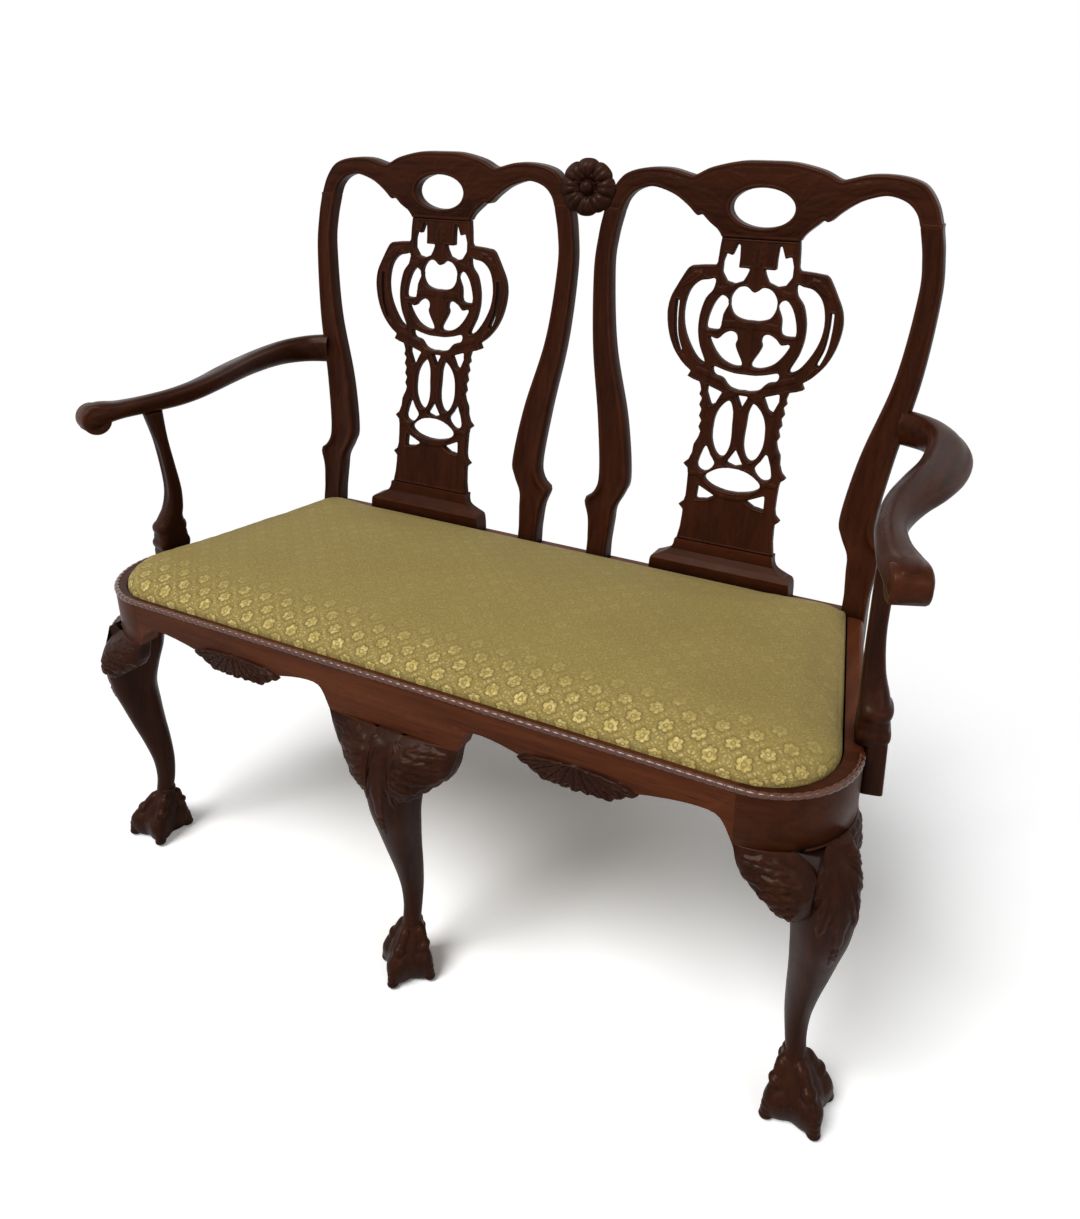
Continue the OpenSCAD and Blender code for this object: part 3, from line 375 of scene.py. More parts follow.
# %% Weave group
weave, given = new_group("plain_weave", Place=None, Pitch=0.001)
turns = put(weave, "Math", {"operation": "DIVIDE"}, {0: math.pi, 1: given["Pitch"]})[0]
axes = given["Place"].axes()
warp, weft = ((axes[axis] * turns).maths("SINE") for axis in "XY")
on_top = (warp * weft).maths("GREATER_THAN")
thread = put(weave, "Mix", {"data_type": "FLOAT"}, {0: on_top, 2: abs(weft), 3: abs(warp)})[0]
close_group(weave, Height=thread, Warp=on_top)

# %% [markdown]
# The seat is covered in a golden damask with a common diaper figure: a net of lozenges with a small flower
# in each. It could be printed from an image, but the pattern is only geometry, so it is worked out here.
# The place is turned by an eighth, so that its squares stand on their corners. Each cell then asks how far
# a spot is from its middle, and at what angle, and that gives petals.

# %% Lozenge figure group
PETALS = 6.0
lozenges, given = new_group("lozenge_figure", Place=None, Pitch=0.024)
axes = given["Place"].axes()
across, along = ((diagonal / given["Pitch"]).maths("FRACT") - 0.5
                 for diagonal in (axes["X"] + axes["Y"], axes["X"] - axes["Y"]))
beads = (abs(across).maths("MINIMUM", abs(along)) * 38.0).maths("SINE")
net = abs(across).maths("MAXIMUM", abs(along)).ranged(0.41, 0.46) * beads.ranged(-0.4, 0.3)
out = (across * across + along * along).maths("SQRT")
petal = abs((along.maths("ARCTAN2", across) * (PETALS / 2)).maths("COSINE")).maths("POWER", 0.6)
inside = petal.ranged(0.0, 1.0, 0.21, 0.335) - out
flower = inside.ranged(0.0, 0.04) * abs(out - 0.095).ranged(0.012, 0.035)
close_group(lozenges, Flower=flower, Net=net, Outline=abs(inside + 0.03).ranged(0.045, 0.02))

# %% [markdown]
# Silk loses its figure where people sit. The gold is strongest along the front roll, where nobody rubs it,
# and fades to plain olive towards the back. That fade is partly wear and partly a painted sheen, since a
# damask's figure shows where its silk catches the light. Round each flower a darker olive is painted shade.
# The pattern reads its place from numbers stored on each point of the mesh, so that it wraps down over the
# edges as real cloth does, and travels with the seat.

# %% Damask
CLOTH_PLACE = "cloth_place"
LOZENGE, SILK_THREAD = 0.0370, 0.0006
# The darkest olive is painted shade round each raised flower.
OLIVE, OLIVE_DARK, OUTLINE_SHADE = (0.292, 0.218, 0.068), (0.225, 0.165, 0.050), (0.115, 0.080, 0.026)
GOLD, STRAW = (0.54, 0.405, 0.118), (0.72, 0.58, 0.225)
# Between these depths the gold figure fades, partly by wear and partly as a painted sheen.
FIGURE_FULL_Y, FIGURE_DIM_Y = -0.212, -0.150


def damask_finish():
    material, tree = new_material("damask_silk")
    place = put(tree, "Attribute", {"attribute_name": CLOTH_PLACE})["Vector"]
    figure = use(tree, lozenges, Place=place, Pitch=LOZENGE)
    cloth = use(tree, weave, Place=place, Pitch=SILK_THREAD)
    uneven = place.cloudy(9.0, 3.0)
    # How much figure shows: partly worn away towards the back, partly a painted sheen strongest at the front
    # roll.
    figure_wear_and_sheen = place.axes()["Y"].ranged(FIGURE_FULL_Y, FIGURE_DIM_Y, 1.0, 0.06)
    figure_wear_and_sheen = figure_wear_and_sheen.maths("ADD", uneven.ranged(0.3, 0.7, -0.12, 0.12), clamp=True)
    ground = place.cloudy(240.0, 3.0).ranged(0.35, 0.65).mix(OLIVE_DARK, OLIVE)
    ground = uneven.ranged(0.35, 0.7, 0.35, 0.85).mix(ground, OLIVE)
    # Painted shade: a dark olive line round each flower.
    shadowed = (figure["Outline"] * (figure_wear_and_sheen * 0.55)).mix(ground, OUTLINE_SHADE)
    gilt = place.cloudy(90.0, 2.0).ranged(0.4, 0.62).mix(GOLD, STRAW)
    raised = figure["Flower"].maths("MAXIMUM", figure["Net"] * 0.62)
    raised = raised * place.cloudy(170.0, 3.0).ranged(0.40, 0.58, 0.22, 1.0)
    flecks = place.cloudy(420.0, 3.0).ranged(0.54, 0.68, 0.0, 0.38)
    colour = (raised * figure_wear_and_sheen).maths("MAXIMUM", flecks).mix(shadowed, gilt)
    return surfaced(material, cloth["Height"] * 0.25 + raised * figure_wear_and_sheen * 0.9, 0.55, 0.0006, Base_Color=colour,
                    Roughness=raised.ranged(0.0, 1.0, 0.78, 0.52), Specular_IOR_Level=0.12, Sheen_Weight=0.04,
                    Sheen_Roughness=0.45)


damask = damask_finish()
print("damask: lozenges of", LOZENGE * 1000, "mm")

# %% [markdown]
# Under the seat are plain jute cloths: wide webbing, and hessian over it. Both are the same weave at
# different pitches, hairy and uneven, and pale where the light catches a thread. The screws and the cover's
# tacks are brass that has gone brown: fine scratches are squeezed noise, and the tarnish is a slow cloud
# that also dulls the gloss.

# %% Jute and old brass
def jute_finish(name, pitch, low, high):
    material, tree = new_material(name)
    place = put(tree, "TexCoord")["Object"]
    cloth = use(tree, weave, Place=place, Pitch=pitch)
    light = cloth["Height"].ranged(0.1, 0.9) * place.cloudy(900.0, 3.0).ranged(0.3, 0.7, 0.5, 1.0)
    colour = (cloth["Warp"] * 0.18).mix(light.mix(low, high), high)
    return surfaced(material, cloth["Height"], 0.7, pitch * 0.4, Base_Color=colour, Roughness=0.88,
                    Specular_IOR_Level=0.15)


def old_brass(name, bright, tarnish):
    material, tree = new_material(name)
    place = put(tree, "TexCoord")["Object"]
    spots = place.cloudy(260.0).ranged(0.35, 0.65)
    scratches = place.squeezed(0.08).cloudy(1400.0, 2.0)
    return surfaced(material, scratches, 0.2, 0.0002, Base_Color=spots.mix(bright, tarnish), Metallic=1.0,
                    Roughness=spots.ranged(0.0, 1.0, 0.24, 0.5) + scratches * 0.12)


hessian = jute_finish("hessian_cloth", 0.0021, (0.115, 0.082, 0.045), (0.40, 0.31, 0.19))
webbing = jute_finish("jute_webbing", 0.0030, (0.16, 0.115, 0.062), (0.46, 0.36, 0.22))
screw_brass = old_brass("screw_brass", (0.52, 0.36, 0.15), (0.24, 0.15, 0.06))
tack_brass = old_brass("tack_brass", (0.46, 0.33, 0.15), (0.18, 0.115, 0.05))
print("plain finishes:", [finish.name for finish in (hessian, webbing, screw_brass, tack_brass)])

# %% [markdown]
# Many of the joiner's solids are already the right shape: rails, shoes, blocks, dowels and the seat's
# frame. They stay and take a finish. Their edges come razor sharp, and no plane leaves such an edge, so a
# weld and a small bevel ease them. Both are modifiers, and the solid itself stays as it was.

# %% Finishes on the joiner's solids
SOLID_FINISHES = {
    "front_rail": mahogany_rail, "rail_corner": mahogany_corner, "side_rail": mahogany_side,
    "rear_rail": mahogany_rail, "rear_leg": mahogany_up, "shoe": mahogany_across, "seat_frame_left": beech_up,
    "seat_frame_right": beech_up, "seat_frame": beech, "blocks": beech_up, "brace": beech_up, "dowels": beech,
    "screws": screw_brass, "tacks": tack_brass, "webbing": webbing, "hessian": hessian, "cover": damask}
LEFT_SHARP = ("dowels", "screws", "tacks", "webbing", "hessian", "cover")
EDGE_EASE, EASED_ANGLE, WELD_REACH = 0.0012, math.radians(38), 0.00002
for name, solid in nodes.items():
    kind = next((part for part in SOLID_FINISHES if part in name), None)
    solid.data.materials.clear()
    solid.data.materials.append(SOLID_FINISHES.get(kind, mahogany_across))
    if kind and kind not in LEFT_SHARP:
        solid.modifiers.new("weld", "WELD").merge_threshold = WELD_REACH
        bevel = solid.modifiers.new("eased_edges", "BEVEL")
        bevel.width, bevel.segments = EDGE_EASE, 2
        bevel.limit_method, bevel.angle_limit = "ANGLE", EASED_ANGLE
print("joiner's solids finished:", len(nodes))

# %% [markdown]
# Every carved or bent shape below is drawn as a smooth line through a few places, the way a joiner springs
# a lath through nails. A surface is then a row of such lines: a loft. Blender's own curve objects could do
# some of it, but rings of points in plain numbers can carry carving, and they stay tidy quads.

# %% Lines and lofts
def smooth(points, steps=6):
    """A smooth line through points, with steps from each to the next."""
    p = np.array(points, float)
    q = np.vstack([2 * p[0] - p[1], p, 2 * p[-1] - p[-2]])
    line = []
    for i in range(1, len(q) - 2):
        a, b, c, d = q[i - 1:i + 3]
        for t in np.arange(steps) / steps:
            line.append(0.5 * (2 * b + (c - a) * t + (2 * a - 5 * b + 4 * c - d) * t * t
                               + (3 * b - a - 3 * c + d) * t ** 3))
    line.append(p[-1])
    return np.array(line)


def evenly(line, count):
    """The same line with count points, evenly spaced along it."""
    line = np.array(line, float)
    along = np.concatenate([[0], np.cumsum(np.linalg.norm(np.diff(line, axis=0), axis=1))])
    at = np.linspace(0, along[-1], count)
    return np.stack([np.interp(at, along, line[:, k]) for k in range(line.shape[1])], axis=1)


def length_of(line):
    return float(np.linalg.norm(np.diff(line, axis=0), axis=1).sum())


def ring_through(points, steps=5):
    """A smooth closed line through points."""
    p = [tuple(q) for q in points]
    return smooth(p[-2:] + p + p[:2], steps)[2 * steps:-(steps + 1)]


def sides_of(line):
    """Unit vectors square to a line drawn in two dimensions, to its left."""
    way = np.gradient(np.array(line, float), axis=0)
    way /= np.linalg.norm(way, axis=1, keepdims=True) + 1e-12
    return np.stack([-way[:, 1], way[:, 0]], axis=1)


def circle(count):
    """Points round a circle of half size 1."""
    a = np.linspace(0, 2 * math.pi, count, endpoint=False)
    return np.stack([np.cos(a), np.sin(a)], axis=1)


def squared(ring, share):
    """Points of a circle moved towards a square. A share of 1 leaves them, and 0 is the square."""
    return np.sign(ring) * np.abs(ring) ** share


def at_height(ring, z):
    """A ring on the plan, raised to one height or to a height for each point."""
    return np.column_stack([ring, np.full(len(ring), z)])


def loft(rings, caps=True):
    """Points and faces through rings of equally many points."""
    rings = np.array(rings, float)
    m, n = rings.shape[:2]
    faces = [(i + k, i + (k + 1) % n, i + n + (k + 1) % n, i + n + k)
             for i in range(0, (m - 1) * n, n) for k in range(n)]
    if caps:
        faces += [tuple(range(n - 1, -1, -1)), tuple(range((m - 1) * n, m * n))]
    return rings.reshape(-1, 3), faces


def joined(parts):
    """Several lots of points and faces as one."""
    points, faces, start = [], [], 0
    for p, f in parts:
        points.append(np.array(p, float))
        faces += [tuple(i + start for i in face) for face in f]
        start += len(p)
    return np.vstack(points), faces


def turned(points, turn, spot):
    """Points spun about the upright axis, and then moved."""
    c, s = math.cos(turn), math.sin(turn)
    return np.array(points, float) @ np.array([[c, -s, 0], [s, c, 0], [0, 0, 1]]).T + spot


print("a round ring of 8 has a half size of", np.abs(circle(8)).max())

# %% [markdown]
# A piece is a mesh object that rides on one of the part's bodies, takes a finish, and often stands for one
# of the joiner's solids. Left and right pieces are mirror images, so a pair is made in one go.

# %% Pieces and pairs
def new_thing(name, data):
    thing = bpy.data.objects.new(name, data)
    scene.collection.objects.link(thing)
    return thing


def new_mesh(name, shape):
    """A mesh of points and faces, with every face turned outward."""
    mesh = bpy.data.meshes.new(name)
    mesh.from_pydata([tuple(p) for p in shape[0]], [], shape[1])
    mesh.validate()
    mesh.update()
    shell = bmesh.new()
    shell.from_mesh(mesh)
    bmesh.ops.recalc_face_normals(shell, faces=shell.faces)
    shell.to_mesh(mesh)
    shell.free()
    return mesh


def piece(name, shape, material, replaces=(), body="frame"):
    mesh = new_mesh(name, shape)
    mesh.shade_smooth()
    mesh.materials.append(material)
    thing = new_thing(name, mesh)
    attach(thing, body)
    if replaces:
        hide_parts(*replaces)
    return thing


def pair(name, shape, material, node=None):
    """A right-hand shape and its mirror image. In the names, * stands for the side."""
    for side, sign in (("left", -1), ("right", 1)):
        piece(name.replace("*", side), (np.array(shape[0]) * [sign, 1, 1], shape[1]), material,
              [node.replace("*", side)] if node else [])


def as_list(mesh):
    """The points and faces of a mesh."""
    points = np.zeros(len(mesh.vertices) * 3)
    mesh.vertices.foreach_get("co", points)
    return points.reshape(-1, 3), [tuple(p.vertices) for p in mesh.polygons]


def evaluated(thing):
    return thing.evaluated_get(bpy.context.evaluated_depsgraph_get())


def add_skin(thing, voxel):
    skin = thing.modifiers.new("skin", "REMESH")
    skin.mode, skin.voxel_size = "VOXEL", voxel


def taken_from(thing):
    """The points and faces that a thing ends up with. The thing itself goes."""
    made = as_list(evaluated(thing).to_mesh())
    bpy.data.objects.remove(thing)
    return made


def one_skin(shape, voxel, rounds=2):
    """One even skin over shapes that run into each other, as if carved from one block."""
    block = new_thing("block", new_mesh("block", shape))
    add_skin(block, voxel)
    block.modifiers.new("soft", "SMOOTH").iterations = rounds
    return taken_from(block)


print("things before the first piece:", len(scene.collection.all_objects))

# %% [markdown]
# Acanthus is the carver's common leaf: a stem, a lobed edge, a deep vein, and ribs that fan out from it. It
# turns up on knees, ears, pendants and crests, so it is written once, as a height over a flat place. A
# texture could fake it, but its shadow side has to move with the light, so it becomes real relief.

# %% Carved leaves
LEAF_LOBES, LEAF_RIBS = 3.5, 5


def leaf_height(x, z, base, tip, width):
    """Height from 0 to 1 of one leaf from its base to its tip, over the places x, z."""
    way = np.array(tip, float) - base
    size = np.linalg.norm(way)
    way /= size
    s = ((x - base[0]) * way[0] + (z - base[1]) * way[1]) / size
    w = np.abs(-(x - base[0]) * way[1] + (z - base[1]) * way[0]) / width
    inner = np.clip(s, 0, 1)
    half = np.sin(np.pi * inner ** 0.75) ** 0.7 * (1 - 0.26 * np.abs(np.sin(LEAF_LOBES * np.pi * inner)))
    body = np.clip((half - w) / 0.3, 0, 1) ** 0.6
    vein = np.exp(-(w / 0.13) ** 2)
    ribs = 0.5 + 0.5 * np.cos(2 * np.pi * (inner * LEAF_RIBS - w * 1.6))
    return np.where((s > 0) & (s < 1), body * (1 - 0.5 * vein - 0.18 * ribs), 0)


def spray(x, z, leaves, mirrored=True):
    """The highest of several leaves, and of their mirror images where a leaf has a side to it."""
    height = np.zeros(np.shape(x))
    for base, tip, width in leaves:
        for side in (x, -x) if mirrored and (base[0] or tip[0]) else (x,):
            height = np.maximum(height, leaf_height(side, z, base, tip, width))
    return height


one_leaf = leaf_height(np.full(99, .2), np.linspace(0, 1, 99), (0, 0), (0, 1), 1)
print("a leaf's highest place:", round(float(one_leaf.max()), 2))

# %% [markdown]
# The back leans away from the seat and bows a little, and below the seat its legs sweep back for balance.
# Posts, crests, splats and rosette all have to lie in that one bent surface, so its depth and thickness
# are two functions of height. A flat board is drawn in x and z and then bent onto it.

# %% The back's rake
back_rise = crest_top_z - rail_top_z
BACK_RAKE, BACK_BOW = math.radians(11.5), 0.027
SEAT_DEPTH, REAR_SWEEP = 0.42, 0.072
POST_T, CREST_T, REAR_FOOT_T = 0.028, 0.023, 0.026


def back_y(z):
    """Depth of the front of the back posts and rear legs at a height."""
    z = np.array(z, float)
    rise = z - rail_top_z
    above = SEAT_DEPTH + rise * math.tan(BACK_RAKE) - BACK_BOW * (rise / back_rise) ** 2
    below = SEAT_DEPTH + REAR_SWEEP * (np.maximum(rail_low_z - z, 0) / rail_low_z) ** 1.6
    return rail_face_y + np.where(z >= rail_top_z, above, below)


def back_t(z):
    z = np.array(z, float)
    return np.where(z >= rail_top_z, POST_T + (CREST_T - POST_T) * (z - rail_top_z) / back_rise,
                    POST_T + (REAR_FOOT_T - POST_T) * np.maximum(rail_low_z - z, 0) / rail_low_z)


def raked(points, inset=0.0, thick=None):
    """Flat board points moved onto the rake of the back. Depth 0 is the board's front."""
    p = np.array(points, float)
    p[:, 1] = back_y(p[:, 2]) + inset + p[:, 1] * (back_t(p[:, 2]) / thick if thick else 1.0)
    return p


print("back: leans", round(float(back_y(crest_top_z) - back_y(rail_top_z)) * 1000), "mm")

# %% [markdown]
# A post is sawn to an S and then moulded: its front is hollowed between two rounded edges. Sweeping one
# section along a curve would keep its width, but these posts swell and narrow, so each height gets a ring
# of its own between an outer and an inner line. The outer posts run down into square rear legs.

# %% Posts
OUTER_EDGE = [(.222, .93), (.228, .9), (.232, .85), (.225, .75), (.208, .65), (.198, .57), (.204, .543),
              (.217, .53), (.209, .505), (.205, .47)]
INNER_EDGE = [(.196, .93), (.203, .895), (.205, .85), (.193, .75), (.165, .65), (.1515, .57),
              (.157, .545), (.168, .522), (.17, .5), (.173, .47)]
MOULDED = [(-.97, .3), (-1, -.25), (-.93, -.8), (-.78, -1), (-.62, -.93), (-.46, -.79), (-.2, -.73),
           (0, -.72), (.2, -.73), (.46, -.79), (.62, -.93), (.78, -1), (.93, -.8), (1, -.25), (.97, .3),
           (.9, .8), (.6, 1), (0, 1), (-.6, 1), (-.9, .8)]
moulded_section = ring_through(MOULDED, 4)
moulded_section = evenly(np.vstack([moulded_section, moulded_section[:1]]), 65)[:-1]
square_section = squared(moulded_section / np.linalg.norm(moulded_section, axis=1, keepdims=True), .22)


def across_at(edge, z):
    line = smooth(edge, 8)
    order = np.argsort(line[:, 1])
    return np.interp(z, line[order, 1], line[order, 0])


def post_rings(lowest):
    """Rings of a post from the crest down, x from the middle of its chair-back."""
    heights = list(np.linspace(.935, rail_top_z, 90))
    if lowest < rail_top_z:
        heights += list(np.linspace(rail_top_z - .006, lowest, 60))
    rings = []
    for z in heights:
        outer, inner = across_at(OUTER_EDGE, z), across_at(INNER_EDGE, z)
        if z < rail_low_z:
            inner = inner + 0.003 * (rail_low_z - z) / rail_low_z
        plainness = np.interp(z, [rail_top_z - .01, rail_top_z + .05, .88, .935], [1, 0, 0, .9])
        section = moulded_section * (1 - plainness) + square_section * plainness
        middle, half = (outer + inner) / 2, (outer - inner) / 2
        rings.append([(middle + half * u, back_y(z) + back_t(z) / 2 * (1 + v), z) for u, v in section])
    return rings


points, faces = loft(post_rings(0))
pair("post_outer_*", (points + [half_pitch, 0, 0], faces), mahogany_up, "outer_post_*")
points, faces = loft(post_rings(rail_top_z))
pair("post_inner_*", (points * [-1, 1, 1] + [half_pitch, 0, 0], faces), mahogany_up, "inner_post_*")
print("posts:", len(points), "points in an inner one")

# %% [markdown]
# A cabriole leg is an S in every view: a full knee, a long slim ankle, and a foot that kicks forward. It is
# lofted from rows of front, back and width. The knee carries a fan of leaves. They are raised out of the
# loft's own points along the way each faces, so the leg stays one piece of wood.

# %% Leg shaft and carved knee
LEG_ROWS = [(1, .012, -.14, .082, 4), (.955, .052, -.138, .086, 4), (.885, .08, -.128, .086, 3.6),
            (.8, .092, -.1, .083, 3), (.71, .087, -.078, .075, 2.6), (.62, .063, -.08, .0645, 2.4),
            (.53, .037, -.085, .0545, 2.3), (.435, .008, -.0925, .0455, 2.2),
            (.345, -.0125, -.0945, .0375, 2.1), (.265, -.0155, -.086, .032, 2),
            (.205, -.006, -.073, .031, 2), (.17, .0, -.066, .033, 2), (.12, .02, -.04, .03, 2)]
KNEE_LEAVES = [((0, .366), (0, .262), .0145), ((.006, .368), (.024, .288), .0105),
               ((.010, .370), (.040, .322), .0095), ((.014, .371), (.050, .350), .0075),
               ((0, .278), (0, .238), .0065)]
KNEE_RADIUS, KNEE_RELIEF = 0.034, 0.0026


def leg_shaft():
    rings = []
    for share, front, back, half, power in smooth(LEG_ROWS, 20):
        section = squared(circle(144), 2 / power)
        arc = np.arctan2(section[:, 0], -section[:, 1]) * KNEE_RADIUS
        carved = spray(arc, np.full(len(arc), share * rail_low_z), KNEE_LEAVES) * KNEE_RELIEF
        way = section / np.linalg.norm(section, axis=1, keepdims=True)
        ring = (section * [half, (front - back) / 2] - [0, (front + back) / 2]) * rail_low_z
        rings.append(at_height(ring + way * carved[:, None], share * rail_low_z))
    return loft(rings)


shaft = leg_shaft()
print("leg shaft:", len(shaft[0]), "points")

# %% [markdown]
# The claw-and-ball foot is four bony toes that grip a ball. Each toe is a bent tube that swells at its
# knuckles and ends in a talon at the floor. Ball, toes and the hand above them run into each other, and a
# voxel skin over the lot turns them into one carved block with soft valleys between.

# %% Claw-and-ball foot
BALL_R, BALL_Z, BALL_CORNER, BALL_BASE, POLE_GAP = 0.0320, 0.0265, 0.20, 0.28, 0.06
TOE = [(.003, .073, .0050), (.0090, .068, .0070), (.0145, .061, .0086), (.0182, .054, .0076),
       (.0222, .048, .0092), (.0248, .041, .0076), (.0276, .034, .0088), (.0296, .027, .0072),
       (.0318, .020, .0084), (.0332, .013, .0074), (.0341, .007, .0078), (.0350, .0025, .0070)]
HAND = [(.079, .0112), (.071, .0128), (.063, .0160), (.055, .0192), (.047, .0222), (.039, .0245),
        (.031, .0262)]
ANKLE_LEAN, LEAN_FROM, LEAN_OVER, CREASES, FOOT_VOXEL = 0.0165, .034, .042, 9, 0.0013


def ball():
    """A ball squared towards its four toes, and flattened where it stands."""
    rings = []
    for a in np.linspace(POLE_GAP - math.pi / 2, math.pi / 2 - POLE_GAP, 22):
        fullness = math.cos(a) ** (BALL_BASE if a < 0 else 1)
        t = np.linspace(0, 2 * math.pi, 48, endpoint=False)
        r = BALL_R * fullness * (1 + BALL_CORNER * np.cos(4 * t))
        rings.append(at_height(circle(48) * r[:, None], BALL_Z * (1 + .98 * math.sin(a))))
    return loft(rings)


def toe(angle):
    path = smooth(TOE, 7)
    way = np.array([math.cos(angle), math.sin(angle)])
    beside = np.array([-way[1], way[0]])
    rings = []
    for k, ((r, z, w), (out_r, out_z)) in enumerate(zip(path, sides_of(path[:, :2]))):
        w *= 1 + .05 * math.sin(k / len(path) * 2 * math.pi * CREASES)
        u, v = (circle(24) * [w * .92, w]).T
        ring = np.outer(r + out_r * v, way) + np.outer(u, beside)
        rings.append(at_height(ring, np.maximum(z + out_z * v, 0)))
    return loft(rings)


def lean(points, share=1.0):
    """The ankle's step forward, which the top of the foot follows."""
    points[:, 1] += ANKLE_LEAN * share * np.clip((points[:, 2] - LEAN_FROM) / LEAN_OVER, 0, 1.1)


def foot():
    hand = loft([at_height(circle(32) * r, z) for z, r in reversed(HAND)])
    points, faces = joined([ball(), hand] + [toe(k * math.pi / 2) for k in range(4)])
    lean(points)
    return one_skin((points, faces), FOOT_VOXEL, 2)


carved_foot = foot()
print("foot:", len(carved_foot[0]), "points, reach",
      round(float(np.abs(carved_foot[0][:, 0]).max()) * 1000, 1), "mm")

# %% [markdown]
# The same leg serves three places. The corner legs are turned outward by half a right angle, and their
# feet are a little broader, because they are the ones seen from two sides.

# %% Legs in their places
CORNER_R, CORNER_SHIFT, CORNER_FOOT = 0.1, 0.024, 1.13
corner_x, corner_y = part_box("rail_corner_right")[1].x - CORNER_R, CORNER_R
leg_x = corner_x + (CORNER_R + CORNER_SHIFT) / math.sqrt(2)
leg_y = corner_y + (-CORNER_R + CORNER_SHIFT) / math.sqrt(2)


def whole_leg(foot_size):
    broad = carved_foot[0] * [foot_size, foot_size, 1]
    lean(broad, 1 - foot_size)
    return joined([shaft, (broad, carved_foot[1])])


points, faces = whole_leg(1)
piece("leg_centre", (points + [0, rail_face_y, 0], faces), mahogany_carved, ["front_leg_centre"])
points, faces = whole_leg(CORNER_FOOT)
points = turned(points, math.pi / 4, [leg_x, rail_face_y + leg_y, 0])
pair("leg_*", (points, faces), mahogany_carved, "front_leg_*")
print("corner leg stands", round(leg_x, 3), "m from the middle")

# %% [markdown]
# Crests and splats start as flat boards with piercings. A curve object fills an outline with holes, and
# gives it thickness and an eased edge in one go. The skin over it has small even faces, which a modifier
# such as Boolean would not leave, and relief needs those.

# %% Pierced boards
def board(outline, holes, thick, edge):
    """A flat board in x and z, from depth 0 at the front to thick at the back."""
    curve = bpy.data.curves.new("board", "CURVE")
    curve.dimensions, curve.fill_mode, curve.offset = "2D", "BOTH", -edge
    curve.extrude, curve.bevel_depth, curve.bevel_resolution = thick / 2 - edge, edge, 2
    for ring in [outline] + list(holes):
        spline = curve.splines.new("POLY")
        spline.points.add(len(ring) - 1)
        for point, (x, z) in zip(spline.points, ring):
            point.co = (x, z, 0, 1)
        spline.use_cyclic_u = True
    points, faces = taken_from(new_thing("board", curve))
    return np.stack([points[:, 0], thick / 2 - points[:, 2], points[:, 1]], axis=1), faces


def flipped(ring):
    return np.array(ring, float)[::-1] * [-1, 1]


def edge_distance(x, z, rings):
    """How far each place is from the nearest of several closed outlines."""
    nearest = np.full(len(x), 9.0)
    for ring in rings:
        a = np.array(ring, float)
        b = np.roll(a, -1, axis=0)
        for (ax, az), (bx, bz) in zip(a, b):
            long = max((bx - ax) ** 2 + (bz - az) ** 2, 1e-12)
            t = np.clip(((x - ax) * (bx - ax) + (z - az) * (bz - az)) / long, 0, 1)
            nearest = np.minimum(nearest, np.hypot(x - ax - t * (bx - ax), z - az - t * (bz - az)))
    return nearest


def carved(flat, thick, relief):
    """A flat board with its front raised by relief(x, z)."""
    points = flat[0].copy()
    points[:, 1] -= np.clip(1 - points[:, 1] / (thick * .55), 0, 1) * relief(points[:, 0], points[:, 2])
    return points, flat[1]


print("board tools ready")

# %% [markdown]
# A crest is a serpentine rail with an oval through its middle. Its edge carries a small moulding, and
# shallow leaves spread from the oval to the shoulders.

# %% Crests
CREST_TOP = [(0, 1), (.035, .999), (.072, .991), (.094, .981), (.104, .982), (.13, .988), (.16, .988),
             (.185, .983), (.2, .974), (.213, .955), (.222, .93)]
CREST_UNDER = [(.196, .93), (.19, .945), (.178, .957), (.16, .9635), (.144, .963), (.12, .955),
               (.1, .942), (.087, .931), (.080, .9325), (.072, .926), (.058, .914), (.052, .905)]
CREST_LEAVES = [((.050, .944), (.100, .965), .011), ((.050, .938), (.088, .944), .008),
                ((.048, .952), (.070, .984), .009), ((.018, .973), (.052, .987), .0065),
                ((.022, .915), (.050, .922), .007), ((0, .972), (0, .992), .009),
                ((0, .916), (0, .904), .007), ((.104, .967), (.150, .977), .008),
                ((.150, .975), (.192, .965), .0065)]
EDGE_MOULD = ([0, .0012, .0026, .0042, .0056, .008], [-.0004, .0004, .0009, -.0005, -.0009, 0])
CREST_RELIEF, TAB_RECESS, CREST_EASE, CREST_VOXEL = 0.0010, 0.0085, 0.004, 0.0016
OVAL_MIDDLE, OVAL_HALF = (0, .9435), (.043, .0245)

half_crest = np.vstack([smooth(CREST_TOP, 5), smooth(CREST_UNDER, 5)])
crest_line = np.vstack([half_crest, flipped(half_crest)])
oval = circle(56) * OVAL_HALF + OVAL_MIDDLE


def crest_relief(x, z):
    near = edge_distance(x, z, [crest_line, oval])
    leaves = spray(x, z, CREST_LEAVES) * np.clip((near - .003) / .003, 0, 1)
    tab = np.clip((.936 - z) / .028, 0, 1) * np.clip((.068 - np.abs(x)) / .008, 0, 1)
    return np.interp(near, *EDGE_MOULD) + leaves * CREST_RELIEF - tab * TAB_RECESS


crest = one_skin(board(crest_line, [oval], POST_T, CREST_EASE), CREST_VOXEL, 1)
points, faces = carved(crest, POST_T, crest_relief)
pair("crest_rail_*", (raked(points, 0, POST_T) + [half_pitch, 0, 0], faces), mahogany_across, "crest_*")
print("crest:", len(points), "points")

# %% [markdown]
# The splat is the showpiece of the back. The sawyer cuts away everything that is not strap: a heart between
# leaf cuts at the neck, a ring inside two scrolls, and interlaced ovals over a plain plate. Its outline and
# piercings are drawn for the right half in metres and mirrored. Then every strap is moulded at once: the
# relief depends only on the distance to the nearest edge, as the carver's scratch gauge does.

